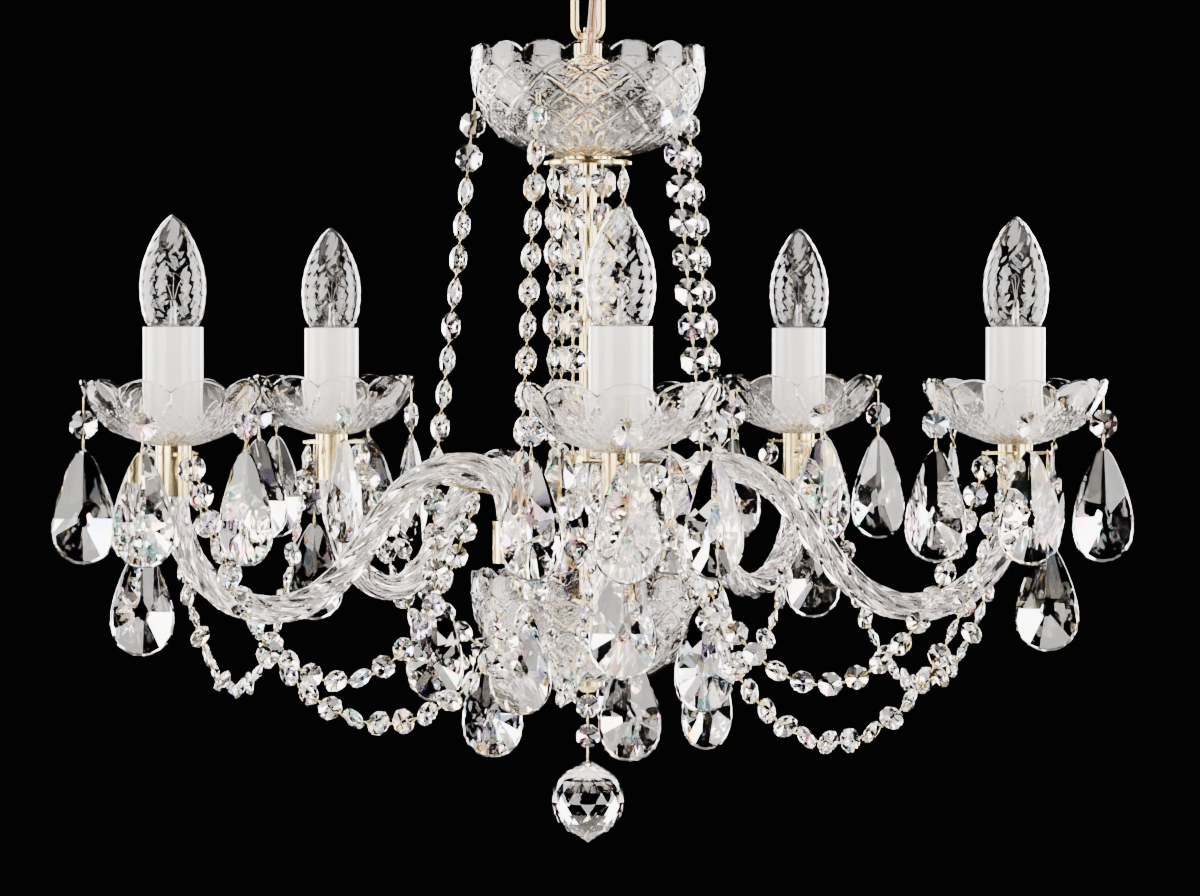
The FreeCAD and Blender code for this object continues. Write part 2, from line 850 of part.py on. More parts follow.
def make_nut():
    top = level(bottom_bowl_base) - touch
    bottom = level(bottom_bowl_base) - bottom_nut_height
    bore = stem_radius + slip_gap
    ceiling = top - bottom_nut_height * 0.7
    return spun([
        (bore, top), (bottom_nut_radius, top), (bottom_nut_radius, top - 2.5), (4.0, bottom),
        (0, bottom), (0, ceiling), (bore, ceiling),
    ])


# ---- bead strands and swags ----


def straight_line(start, end, width, pitch):
    # bead places along a straight line, evenly spaced, half a pitch from each end
    along = (end - start).normalize()
    length = (end - start).Length
    count = max(1, round(length / pitch))
    step = length / count
    return [(start + along * (step * (number + 0.5)), along) for number in range(count)]


def hanging_line(start, end, low_z, pitch):
    # bead places along the curve that a chain takes between two points, as low as low_z
    flat = Vector(end.x - start.x, end.y - start.y, 0)
    span = flat.Length
    across = flat.normalize()
    first_fall = start.z - low_z
    last_fall = end.z - low_z

    def half_spans(size):
        return [size * math.acosh(1 + fall / size) for fall in (first_fall, last_fall)]

    small, large = 1.0, 10000.0
    for _ in range(60):
        size = (small + large) / 2
        if sum(half_spans(size)) < span:
            small = size
        else:
            large = size
    first_half, last_half = half_spans(size)
    first_arc = size * math.sinh(first_half / size)
    last_arc = size * math.sinh(last_half / size)
    count = round((first_arc + last_arc) / pitch)
    step = (first_arc + last_arc) / count
    places = []
    for number in range(count):
        arc = -first_arc + step * (number + 0.5)
        sideways = size * math.asinh(arc / size)
        point = start + across * (first_half + sideways)
        point.z = low_z + math.hypot(size, arc) - size
        along = (across * size + up * arc).normalize()
        places.append((point, along))
    return places


def arm_point(number, radius, lateral, height):
    # a point given in an arm's own upright plane
    return turned(Part.Vertex(lateral, -radius, level(height)), arm_angles[number]).Point


strand_beads = []
strand_links = []
swag_beads = []
swag_links = []
strand_pears = []
bowl_drops = []

for number in range(column_strands):
    angle = 360.0 / column_strands * (number + 0.5)
    start = placed(column_strand_radius, disc_underside - touch, angle)
    end = placed(column_strand_radius, hub_top + touch, angle)
    places = straight_line(start, end, bead_width, bead_pitch)
    normal = placed(1, 0, angle) - placed(0, 0, angle)
    strand_beads += strung(places, [normal] * len(places), bead_width, bead_thickness)
    strand_links += linked(places, bead_width, start, end)

star_gap = star_thickness * 0.7 + touch
strand_top_radius = strand_hole_radius + bowl_wall / 2 + hook_gap
strand_hook_seat = Vector(0, -strand_hole_radius, level(strand_hole_height))
for angle, face_angle in zip(star_angles, strand_pear_facings):
    hook = moved(rim_hook(bowl_wall, strand_hook_leg), strand_hook_seat)
    strand_links.append(turned(hook, angle))
    start = placed(strand_top_radius, strand_hole_height - strand_hook_leg - touch, angle)
    end = placed(star_radius, star_height + star_gap, angle)
    places = straight_line(start, end, bead_width, bead_pitch)
    normal = placed(1, 0, angle) - placed(0, 0, angle)
    strand_beads += strung(places, [normal] * len(places), bead_width, bead_thickness)
    strand_links += linked(places, bead_width, start, end)
    below = level(star_height) - star_gap - touch
    bead_top = below - strand_end_drop
    beads = [bead_at(bead_top - bead_width / 2 - bead_pitch * row) for row in range(strand_end_beads)]
    pear_top = bead_top - bead_pitch * strand_end_beads
    solids = hanging(below, beads + [pear_at(pear_top, strand_pear_length)])
    solids = facing(solids, 0.0, face_angle - angle)
    hung = [turned(moved(solid, Vector(0, -star_radius, 0)), angle) for solid in solids]
    strand_pears.append(hung[-1])
    for solid in hung[:-1]:
        if len(solid.Faces) > 6:
            strand_beads.append(solid)
        else:
            strand_links.append(solid)

seat = lug_height - touch
inner_lug_turn = math.radians(inner_lug_angle)
inner_lug_radius = candle_radius + lug_seat * math.cos(inner_lug_turn)
strip_slope = (star_height - star_root_height) / (star_radius - hub_radius * 0.8)
strip_height = star_root_height + strip_slope * (inner_swag_radius - hub_radius * 0.8)
for number in range(arm_count):
    after = (number + 1) % arm_count
    start = arm_point(number, candle_radius, lug_seat, seat)
    end = arm_point(after, candle_radius, -lug_seat, seat)
    places = hanging_line(start, end, level(outer_swag_lows[number]), swag_pitch)
    normal = (end - start).cross(up).normalize()
    swag_beads += strung(places, [normal] * len(places), swag_bead_width, swag_bead_thickness)
    swag_links += linked(places, swag_bead_width, start, end)

    start = arm_point(number, inner_lug_radius, lug_seat * math.sin(inner_lug_turn), seat)
    end = placed(inner_swag_radius, strip_height - star_gap, star_angles[number])
    places = hanging_line(start, end, level(inner_swag_low), swag_pitch)
    normal = (end - start).cross(up).normalize()
    swag_beads += strung(places, [normal] * len(places), swag_bead_width, swag_bead_thickness)
    swag_links += linked(places, swag_bead_width, start, end)

hole_z = level(drop_hole_height)
leg_end = hole_z - drop_hook_leg
leg_y = -(bowl_wall / 2 + hook_gap)
for angle, face_angle in zip(bowl_drop_angles, bowl_drop_facings):
    hook = moved(rim_hook(bowl_wall, drop_hook_leg), Vector(0, 0, hole_z))
    first = bead_at(leg_end - touch - bead_width / 2)
    tail = pear_at(leg_end - touch - bead_pitch, strand_pear_length)
    hung = hanging(leg_end, [first, tail], leg_y)
    solids = [hook] + hung[:-1] + facing(hung[-1:], leg_y, face_angle - angle)
    bowl_drops += [turned(moved(solid, Vector(0, -drop_hole_radius, 0)), angle) for solid in solids]

# ---- the pieces, each in its own file ----

save("ceiling_plate", [make_ceiling_plate()])
save("ceiling_hook", [make_hook()])
save("canopy_cup", [make_canopy()])
save("supply_flex", [make_flex()])
save("chain_link", [make_link()])
save("suspension_loop", [make_loop()])
save("bowl_cap", [make_cap()])
save("stem_tube", [make_stem()])
top_bowl = make_bowl(top_bowl_base)
save("top_bowl", [drilled(top_bowl, strand_hole_radius, strand_hole_height, star_angles)])
save("strand_disc", [make_disc()])
save("arm_hub", [make_hub()])
bottom_bowl = make_bowl(bottom_bowl_base)
save("bottom_bowl", [drilled(bottom_bowl, drop_hole_radius, drop_hole_height, bowl_drop_angles)])
save("bottom_nut", [make_nut()])
save("strand_beads", strand_beads)
save("strand_pears", strand_pears)
save("swag_beads", swag_beads)
save("bead_links", strand_links + swag_links)
save("bowl_drops", bowl_drops)
save("ball_drop", make_ball_drop())

out = Vector(0, -candle_radius, 0)
arm = make_arm()
arm_wire = make_arm_wire()
collar = moved(make_collar(), out)
sleeve = moved(make_sleeve(), out)
holder = moved(make_holder(), out)
lamp = [moved(solid, out) for solid in make_lamp()]

save("glass_arms", [turned(arm, angle) for angle in arm_angles])
save("arm_wires", [turned(arm_wire, angle) for angle in arm_angles])
save("arm_collars", [turned(collar, angle) for angle in arm_angles])
pans = [moved(make_pan(turn), out) for turn in pan_turns]
save("drip_pans", [turned(pan, angle) for pan, angle in zip(pans, arm_angles)])
save("candle_sleeves", [turned(sleeve, angle) for angle in arm_angles])
save("lampholders", [turned(holder, angle) for angle in arm_angles])
for number, angle in enumerate(arm_angles):
    name = str(number + 1)
    save("lamp_" + name, [turned(solid, angle) for solid in lamp])
    arm_drop = make_arm_drop(arm_drop_facings[number] - angle)
    save("arm_drop_" + name, [turned(moved(solid, out), angle) for solid in arm_drop])
    for place in range(drops_per_pan):
        around = pan_turns[number] + 360.0 / drops_per_pan * place
        pan_drop = make_pan_drop(pan_drop_facings[number][place] - angle - around)
        solids = [turned(moved(turned(solid, around), out), angle) for solid in pan_drop]
        save("pan_drop_" + name + "_" + str(place + 1), solids)
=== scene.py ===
import math

import bmesh
import bpy
import numpy as np
from mathutils import Matrix, Vector


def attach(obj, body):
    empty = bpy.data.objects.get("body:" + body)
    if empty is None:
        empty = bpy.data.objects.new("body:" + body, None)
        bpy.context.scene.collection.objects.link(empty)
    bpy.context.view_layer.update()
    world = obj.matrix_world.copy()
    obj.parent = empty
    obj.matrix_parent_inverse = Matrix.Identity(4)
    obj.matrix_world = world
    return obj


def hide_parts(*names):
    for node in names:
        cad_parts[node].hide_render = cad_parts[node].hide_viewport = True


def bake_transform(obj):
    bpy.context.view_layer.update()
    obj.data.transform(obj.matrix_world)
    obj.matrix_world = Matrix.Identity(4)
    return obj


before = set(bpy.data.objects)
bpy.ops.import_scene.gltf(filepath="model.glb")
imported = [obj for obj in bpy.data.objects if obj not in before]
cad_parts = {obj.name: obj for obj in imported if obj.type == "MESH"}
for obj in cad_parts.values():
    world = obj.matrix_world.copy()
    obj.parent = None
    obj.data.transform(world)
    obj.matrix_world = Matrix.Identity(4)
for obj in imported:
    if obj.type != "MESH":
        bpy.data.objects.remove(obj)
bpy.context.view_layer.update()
mm = 0.001
weld = 0.002 * mm  # corners nearer than this are one
candleLevel = -0.261  # the sleeves' shoulders: heights below are from here, in mm
candleReach = 230  # from the middle to each candle, in mm
armAngles = [3.9 + 72 * number for number in range(5)]  # degrees from the front to the right
print("frame loaded")


def level(height):
    return candleLevel + height * mm


def around(radius, height, angle):
    # a place at a radius and height in mm, and an angle as armAngles has it
    turn = math.radians(angle)
    return Vector((radius * mm * math.sin(turn), -radius * mm * math.cos(turn), level(height)))


# working by hand: select, shape, finish


def clearSelection():
    bpy.ops.object.select_all(action="DESELECT")


def only(*pieces):
    clearSelection()
    for piece in pieces:
        piece.select_set(True)
    bpy.context.view_layer.objects.active = pieces[0]


def editStart(piece, mode="VERT"):
    only(piece)
    bpy.ops.object.mode_set(mode="EDIT")
    bpy.ops.mesh.select_mode(type=mode)


def editEnd():
    bpy.ops.object.mode_set(mode="OBJECT")


def applyPlace(piece):
    only(piece)
    bpy.ops.object.transform_apply(location=True, rotation=True, scale=True)


def named(name):
    piece = bpy.context.view_layer.objects.active
    piece.name = name
    piece.data.name = name
    return piece


def faceOut(piece, merge=5 * weld):
    editStart(piece)
    bpy.ops.mesh.select_all(action="SELECT")
    bpy.ops.mesh.remove_doubles(threshold=merge)
    bpy.ops.mesh.normals_make_consistent(inside=False)
    editEnd()


def useModifier(piece, kind, **settings):
    only(piece)
    modifier = piece.modifiers.new(kind, kind)
    for key, value in settings.items():
        setattr(modifier, key, value)
    bpy.ops.object.modifier_apply(modifier=modifier.name)


def joined(name, pieces):
    only(*pieces)
    if len(pieces) > 1:
        bpy.ops.object.join()
    return named(name)


def placed(piece):
    bpy.context.scene.collection.objects.link(piece)
    return piece


def copyTo(blank, matrix):
    copy = blank.copy()
    copy.data = blank.data.copy()
    copy.data.transform(matrix)
    copy.matrix_world = Matrix.Identity(4)
    return placed(copy)


def discard(*pieces):
    for piece in pieces:
        bpy.data.objects.remove(piece)


def coat(piece, material):
    piece.data.materials.clear()
    piece.data.materials.append(material)


def finished(piece, material, crease=180):
    # shaded smooth up to the angle of a crease, or faceted for 0
    only(piece)
    if crease == 180:
        bpy.ops.object.shade_smooth()
    elif crease:
        bpy.ops.object.shade_smooth_by_angle(angle=math.radians(crease))
    coat(piece, material)
    return piece


def fit(piece, body, slot, *nodes):
    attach(piece, body)
    if nodes:
        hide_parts(*nodes)


# materials


def srgb(code, alpha=1.0):
    values = [int(code[i:i + 2], 16) / 255 for i in (1, 3, 5)]
    return [v / 12.92 if v <= 0.04045 else ((v + 0.055) / 1.055) ** 2.4 for v in values] + [alpha]


def addNode(tree, kind, inputs=None, feeds=None, stops=(), **settings):
    # a node with its settings, its inputs set or linked, the sockets it feeds, and a ramp's stops
    node = tree.nodes.new(kind)
    for key, value in settings.items():
        setattr(node, key, value)
    for key, value in (inputs or {}).items():
        if isinstance(value, bpy.types.NodeSocket):
            tree.links.new(value, node.inputs[key])
        else:
            node.inputs[key].default_value = value
    for key, socket in (feeds or {}).items():
        tree.links.new(node.outputs[key], socket)
    band = node.color_ramp.elements if stops else []
    while len(band) < len(stops):
        band.new(0.5)
    for element, (where, colour) in zip(band, stops):
        element.position = where
        element.color = srgb(colour) if isinstance(colour, str) else [colour, colour, colour, 1]
    return node


def newMaterial(name, values):
    material = bpy.data.materials.new(name)
    material.use_nodes = True
    tree = material.node_tree
    shader = tree.nodes["Principled BSDF"].inputs
    for key, value in values.items():
        shader[key].default_value = value
    return material, tree, shader, addNode(tree, "ShaderNodeTexCoord").outputs["Object"]


def surface(name, values, pattern, colours, rough=(), bump=(), stretch=(),
            kind="ShaderNodeTexNoise", output="Fac", **settings):
    # colour, and where given roughness and relief, follow a fine pattern on the piece
    material, tree, shader, place = newMaterial(name, values)
    if stretch:
        mapping = addNode(tree, "ShaderNodeMapping", {"Vector": place, "Scale": stretch})
        place = mapping.outputs["Vector"]
    source = addNode(tree, kind, {"Vector": place, **pattern}, **settings).outputs[output]
    for socket, stops in (("Base Color", colours), ("Roughness", rough)):
        if stops:
            addNode(tree, "ShaderNodeValToRGB", {"Fac": source}, {"Color": shader[socket]},
                    stops=stops)
    if bump:
        scale, detail, strength, distance = bump
        relief = addNode(tree, "ShaderNodeTexNoise",
                         {"Vector": place, "Scale": scale, "Detail": detail})
        addNode(tree, "ShaderNodeBump",
                {"Height": relief.outputs["Fac"], "Strength": strength, "Distance": distance},
                {"Normal": shader["Normal"]})
    return material


def cutCrystal():
    # full-lead cut crystal, polished facets: clear with its own violet-grey cast, and a few facets
    # given a painted spectral flash, a colour that stands in for light the cut splits
    material, tree, shader, place = newMaterial(
        "cutLeadCrystal", {"Transmission Weight": 1.0, "IOR": 1.6, "Roughness": 0.0})
    # cells of 6 mm of painted flash colour: a real flash is smaller, and wouldn't show in the
    # render
    cells = addNode(tree, "ShaderNodeTexVoronoi", {"Vector": place, "Scale": 160.0})
    split = addNode(tree, "ShaderNodeSeparateColor", {"Color": cells.outputs["Color"]})
    # the white and violet-grey stops are the crystal's own tint; the blue, pink, amber, teal and
    # violet stops are painted light
    paintedSpectralFlashes = addNode(
        tree, "ShaderNodeValToRGB", {"Fac": split.outputs[0]}, {"Color": shader["Base Color"]},
        stops=[(0.0, "#FFFDFA"), (0.48, "#EFEAEE"), (0.66, "#FBF3E6"), (0.83, "#A4C8F2"),
               (0.86, "#F6F1F4"), (0.91, "#F0A2B8"), (0.93, "#F7C47C"), (0.955, "#8AD2C4"),
               (0.975, "#B8A4EA")])
    paintedSpectralFlashes.color_ramp.interpolation = "CONSTANT"
    # a faint haze of dust in patches 2.5 mm across
    haze = addNode(tree, "ShaderNodeTexNoise", {"Vector": place, "Scale": 400.0, "Detail": 2.0})
    addNode(tree, "ShaderNodeValToRGB", {"Fac": haze.outputs["Fac"]},
            {"Color": shader["Roughness"]}, stops=[(0.45, 0.0), (0.75, 0.03)])
    return material


crystal = cutCrystal()
# pressed and wheel-cut soda glass, fire polished: clear, a little violet where it is thick, its
# cuts soft edged with a faint ripple left by the mould, 4.5 mm from wave to wave
glass = surface(
    "cutSodaGlass", {"Transmission Weight": 1.0, "IOR": 1.52, "Roughness": 0.04},
    {"Scale": 30.0, "Detail": 1.0}, [(0.35, "#FCF8F5"), (0.65, "#F1EBEC")],
    bump=(220.0, 3.0, 0.03, 0.0005))
# thin blown soda glass of a candle lamp: clear and smooth, faintly streaked over 11 mm
bulbGlass = surface(
    "blownLampGlass", {"Transmission Weight": 1.0, "IOR": 1.5, "Roughness": 0.0},
    {"Scale": 90.0, "Detail": 2.0}, [(0.3, "#FDFDFD"), (0.7, "#F1EFF0")])
# brass, buffed and lacquered: pale gold, sharp reflections, clouded by handling over 17 mm, with
# buffing marks 0.7 mm apart, as the real ones are too fine to show
brass = surface(
    "polishedBrass", {"Metallic": 1.0}, {"Scale": 60.0, "Detail": 4.0},
    [(0.3, "#F0DDA4"), (0.75, "#C9AC6A")], [(0.2, 0.14), (0.8, 0.26)],
    bump=(1500.0, 2.0, 0.05, 0.0002))
# the same brass as drawn wire: paler and less sharp
wireBrass = surface(
    "polishedBrassWire", {"Metallic": 1.0}, {"Scale": 60.0, "Detail": 4.0},
    [(0.3, "#EBDCB0"), (0.75, "#C8B27C")], [(0.2, 0.2), (0.8, 0.32)],
    bump=(1500.0, 2.0, 0.05, 0.0002))
# zinc-plated steel of the screwed fitting: grey, with spangles 2.5 mm across
steel = surface(
    "zincPlatedSteel", {"Metallic": 1.0}, {"Scale": 400.0}, [(0.0, "#B9BCC0"), (0.8, "#9DA0A5")],
    [(0.0, 0.28), (0.8, 0.4)], kind="ShaderNodeTexVoronoi", output="Distance")
# moulded white polypropylene candle tube: satin, with faint draw lines 1 mm apart down its length
whiteSatin = surface(
    "satinWhitePolypropylene", {"IOR": 1.49, "Coat Weight": 1.0, "Coat Roughness": 0.07},
    {"Detail": 2.0}, [(0.3, "#E4E3E0"), (0.7, "#DBDAD7")], [(0.3, 0.22), (0.7, 0.3)],
    stretch=(900.0, 900.0, 12.0))
# moulded white thermoset of a lampholder: matt, with a mottle of 2 mm
thermoset = surface(
    "mouldedThermoset", {"Roughness": 0.5}, {"Scale": 500.0, "Detail": 3.0},
    [(0.3, "#E9E6DF"), (0.7, "#DAD6CE")])
# plasticised PVC sheath: clear gold-brown, a little cloudy over 7 mm
sheath = surface(
    "clearBrownPvc", {"Transmission Weight": 1.0, "IOR": 1.53, "Roughness": 0.08},
    {"Scale": 150.0, "Detail": 2.0}, [(0.3, "#EBD2A4"), (0.7, "#DDBE88")])
# stranded copper seen through tinted insulation: brown, with bright strands 0.5 mm apart, coarser
# than the real ones so that they show
copper = surface(
    "insulatedCopper", {"Metallic": 0.6, "Roughness": 0.35}, {"Scale": 700.0, "Distortion": 1.0},
    [(0.2, "#6E4630"), (0.8, "#A97B4B")], kind="ShaderNodeTexWave", bands_direction="DIAGONAL")
# extruded silicone of the wires in the arms: translucent pale grey, satin, cloudy over 5 mm
silicone = surface(
    "clearSiliconeInsulation", {"Transmission Weight": 0.75, "IOR": 1.41, "Roughness": 0.3},
    {"Scale": 200.0, "Detail": 2.0}, [(0.3, "#E6E4E4"), (0.7, "#D3D0D1")])
# drawn tungsten and nickel wires inside the lamp: dull grey, with grain of 0.5 mm
tungsten = surface(
    "drawnTungsten", {"Metallic": 1.0}, {"Scale": 2000.0}, [(0.3, "#8F8B86"), (0.7, "#6D6A66")],
    [(0.3, 0.3), (0.7, 0.5)])
# nickel-plated brass screw cap of the lamp: warm grey, handled to patches 3 mm across
nickel = surface(
    "nickelPlatedCap", {"Metallic": 1.0}, {"Scale": 300.0, "Detail": 3.0},
    [(0.3, "#D6D2C8"), (0.7, "#BDB8AC")], [(0.3, 0.2), (0.7, 0.32)])
# trowelled plaster of the floor: pale and matt, mottled over 170 mm
plaster = surface(
    "palePlasterFloor", {"Roughness": 0.7}, {"Scale": 6.0, "Detail": 5.0},
    [(0.3, "#E4E2DE"), (0.7, "#DAD8D4")])
print("materials made")

# camera, light and floor

cameraFacts = {
    "distance": 2.3, "height": candleLevel, "lens": 129.0, "sensor": 36, "farEnd": 30,
    "down": 1.48, "right": 0.16,  # degrees
}
bpy.ops.object.camera_add(
    location=(0, -cameraFacts["distance"], cameraFacts["height"]),
    rotation=(math.radians(90 - cameraFacts["down"]), 0, math.radians(-cameraFacts["right"])))
camera = bpy.context.object
camera.name = "photoCamera"
camera.data.lens = cameraFacts["lens"]
camera.data.sensor_width = cameraFacts["sensor"]
camera.data.clip_end = cameraFacts["farEnd"]
bpy.context.scene.camera = camera

lightFacts = {
    # place, size and watts of the soft boxes on either side, above, below, in front and behind
    "leftBox": ((-1.5, 0.1, -0.2), (0.8, 1.9), 74),
    "rightBox": ((1.5, 0.0, -0.2), (0.8, 1.9), 74),
    "frontLeftBox": ((-1.35, -1.6, 0.2), (1.1, 1.5), 62),
    "frontRightBox": ((1.5, -1.4, 0.0), (1.0, 1.6), 62),
    "topBox": ((0.0, -0.5, 1.1), (1.4, 1.4), 50),
    "backLeftBox": ((-1.1, 1.5, 0.1), (0.8, 1.4), 66),
    "backRightBox": ((1.1, 1.5, 0.0), (0.8, 1.4), 66),
    "lowBox": ((0.0, -1.6, -1.1), (1.2, 0.5), 24),
}
roomFacts = {
    "aim": (0, 0, -0.28), "lightColour": "#FFFCF8", "darkColour": "#17171A", "darkStrength": 0.25,
    "floorRadius": 1.3, "floorHeight": -1.45,  # the floor is below the photograph's view
}
for name, (place, size, power) in lightFacts.items():
    bpy.ops.object.light_add(type="AREA", location=place)
    lamp = bpy.context.object
    lamp.name = name
    lamp.data.shape = "RECTANGLE"
    lamp.data.size, lamp.data.size_y = size
    lamp.data.energy = power
    lamp.data.color = srgb(roomFacts["lightColour"])[:3]
    sight = Vector(roomFacts["aim"]) - Vector(place)
    lamp.rotation_euler = sight.to_track_quat("-Z", "Y").to_euler()

world = bpy.data.worlds.new("darkStudio")
world.use_nodes = True
background = world.node_tree.nodes["Background"].inputs
background["Color"].default_value = srgb(roomFacts["darkColour"])
background["Strength"].default_value = roomFacts["darkStrength"]
bpy.context.scene.world = world

clearSelection()
bpy.ops.mesh.primitive_circle_add(
    vertices=96, radius=roomFacts["floorRadius"], fill_type="NGON",
    location=(0, 0, roomFacts["floorHeight"]))
floor = named("paleFloor")
applyPlace(floor)
coat(floor, plaster)
print("camera, light and floor placed")

# supply flex: clear sheath over two cores

flexFacts = {
    "diameter": 0.0044, "coreDiameter": 0.0013, "coreGap": 0.0016, "length": 0.1298,
    "exit": (0.0, -0.0059, -0.1568),
    "coreShort": 0.3,  # how far inside the sheath's ends the cores end, in mm
    # part.py's route, in mm, from the canopy down to the gland
    "route": [(5.0, -11.6, -32.0), (4.8, -11.4, -62.0), (2.2, -12.4, -92.0),
              (0.4, -14.6, -119.0), (0.0, -15.6, -139.0), (0.0, -14.6, -150.0),
              (0.0, -11.2, -155.4), (0.0, -5.9, -156.8)],
}


def routeCurve(name, route, radius=0.0, sides=3):
    # a smooth wire along a route in mm, its radius in metres
    curve = bpy.data.curves.new(name, "CURVE")
    curve.dimensions = "3D"
    curve.resolution_u = 8
    spline = curve.splines.new("NURBS")
    spline.points.add(len(route) - 1)
    for point, place in zip(spline.points, route):
        point.co = (*[value * mm for value in place], 1)
    spline.order_u = 3
    spline.use_endpoint_u = True
    curve.bevel_depth = radius
    curve.bevel_resolution = sides
    curve.use_fill_caps = radius > 0
    return placed(bpy.data.objects.new(name, curve))


def splinePoints(piece):
    line = bpy.data.meshes.new_from_object(piece)
    points = [vertex.co.copy() for vertex in line.vertices]
    bpy.data.meshes.remove(line)
    return points


def asMesh(piece):
    only(piece)
    bpy.ops.object.convert(target="MESH")
    piece = bpy.context.object
    faceOut(piece, weld)
    return piece


flexLine = routeCurve("flexLine", flexFacts["route"])
flexPath = splinePoints(flexLine)
discard(flexLine)
flex = asMesh(routeCurve("supplyFlex", flexFacts["route"], flexFacts["diameter"] / 2, 4))
finished(flex, sheath, 50)
cores = []
for side in (-1, 1):
    gap = side * flexFacts["coreGap"] / 2 / mm
    shifted = [(x + gap, y, z) for x, y, z in flexFacts["route"]]
    (x, y, z), (endX, endY, endZ) = shifted[0], shifted[-1]
    shifted[0] = (x, y, z - flexFacts["coreShort"])
    shifted[-1] = (endX, endY - flexFacts["coreShort"], endZ)
    cores.append(asMesh(routeCurve("flexCore", shifted, flexFacts["coreDiameter"] / 2, 2)))
flexCores = finished(joined("flexCores", cores), copper, 50)
for piece in (flex, flexCores):
    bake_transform(piece)
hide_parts("supply_flex")
print("supply flex made")

# blanks: cut beads, pears, links and hooks


def cutFacet(point, normal):
    bpy.ops.mesh.select_all(action="SELECT")
    bpy.ops.mesh.bisect(plane_co=point, plane_no=Vector(normal).normalized(), use_fill=True,
                        clear_outer=True, threshold=weld)


def ringCuts(count, tilt, radius, height, offset=0.0):
    # equal facets ground round an axis, on both faces of a blank
    for side in (-1, 1):
        for number in range(count):
            turn = 2 * math.pi * (number + offset) / count
            lean = math.radians(tilt)
            outward = Vector((math.cos(turn), math.sin(turn), 0))
            normal = outward * math.sin(lean) + Vector((0, 0, side * math.cos(lean)))
            cutFacet(outward * radius + Vector((0, 0, side * height)), normal)


beadFacts = {
    "sides": 8, "width": 14 * mm, "thickness": 6.4 * mm, "girdle": 0.55 * mm, "table": 2.95 * mm,
    # the facets that take off the corners: their tilt, and a point on them
    "cornerTilt": 27, "cornerReach": 4.7 * mm, "cornerHeight": 1.65 * mm,
}


def cutBead():
    # an octagon bead ground from a disc: eight wedges to a small table, eight corner facets
    sides, half = beadFacts["sides"], beadFacts["width"] / 2
    clearSelection()
    bpy.ops.mesh.primitive_cylinder_add(
        vertices=sides, radius=half / math.cos(math.pi / sides), depth=beadFacts["thickness"],
        rotation=(0, 0, math.pi / sides))
    blank = named("beadBlank")
    applyPlace(blank)
    editStart(blank)
    rise = beadFacts["thickness"] / 2 - beadFacts["girdle"]
    ringCuts(sides, math.degrees(math.atan2(rise, half)), half, beadFacts["girdle"])
    ringCuts(sides, beadFacts["cornerTilt"], beadFacts["cornerReach"], beadFacts["cornerHeight"],
             offset=0.5)
    for side in (-1, 1):
        cutFacet((0, 0, side * beadFacts["table"]), (0, 0, side))
    editEnd()
    faceOut(blank)
    return finished(blank, crystal, 0)


pearFacts = {
    "width": 33 * mm, "thickness": 13 * mm, "length": 59.5 * mm, "sides": 28,
    "shoulder": 0.54, "swell": 0.845, "swellPower": 1.2,
    "star": 0.61, "girdle": 1.3 * mm, "table": 5.6 * mm,
    "rimFlat": 0.5 * mm, "rimTilt": 0.75, "blockMargin": 1.05,
    # where the rays of the star on each face meet the edge, counted in sides from the top
    "frontRays": [0, 8, 11, 13.2, 14.8, 17, 20],
    "backRays": [0, 6, 9.5, 12, 14, 16, 18.5, 22],
}


def pearEdge(count):
    # the pear's outline, a number of sides round from its top
    turn = 2 * math.pi * count / pearFacts["sides"]
    fall = (1 - math.cos(turn)) / 2
    swell = pearFacts["shoulder"] + pearFacts["swell"] * fall ** pearFacts["swellPower"]
    reach = pearFacts["width"] / 2 * math.sin(turn) * swell
    return Vector((reach, 0, -pearFacts["length"] * fall))


def cutPear():
    # a pear drop ground from a block: its outline, then large star facets to a table on each face
    clearSelection()
    bpy.ops.mesh.primitive_cube_add(size=1)
    blank = named("pearBlank")
    blank.scale = (pearFacts["width"] * pearFacts["blockMargin"], pearFacts["thickness"],
                   pearFacts["length"])
    blank.location = (0, 0, -pearFacts["length"] / 2)
    applyPlace(blank)
    editStart(blank)
    for side in range(pearFacts["sides"]):
        before, after = pearEdge(side), pearEdge(side + 1)
        along = after - before
        cutFacet(before, (-along.z, 0, along.x))
    star = Vector((0, 0, -pearFacts["star"] * pearFacts["length"]))
    tip = pearFacts["thickness"] / 2
    for face, rays in ((-1, pearFacts["frontRays"]), (1, pearFacts["backRays"])):
        apex = star + Vector((0, face * tip, 0))
        lift = Vector((0, face * pearFacts["girdle"], 0))
        for begin, end in zip(rays, rays[1:] + [pearFacts["sides"]]):
            before, after = pearEdge(begin) + lift, pearEdge(end) + lift
            normal = (after - before).cross(apex - before)
            cutFacet(before, normal if normal.y * face > 0 else -normal)
        cutFacet(star + Vector((0, face * pearFacts["table"], 0)), (0, face, 0))
        for side in range(pearFacts["sides"]):
            before, after = pearEdge(side), pearEdge(side + 1)
            out = Vector((before.z - after.z, 0, after.x - before.x)).normalized()
            cutFacet(before + Vector((0, face * pearFacts["rimFlat"], 0)),
                     out * pearFacts["rimTilt"] + Vector((0, face, 0)))
    editEnd()
    faceOut(blank)
    return finished(blank, crystal, 0)


linkFacts = {
    "length": 8.6 * mm, "width": 2.7 * mm, "cross": 0.35 * mm, "wire": 0.3 * mm,
    # how far a link goes into the beads past its solid, on the strands and under the ball's nut
    "reach": 2.1 * mm, "ballReach": 1.4 * mm,
}


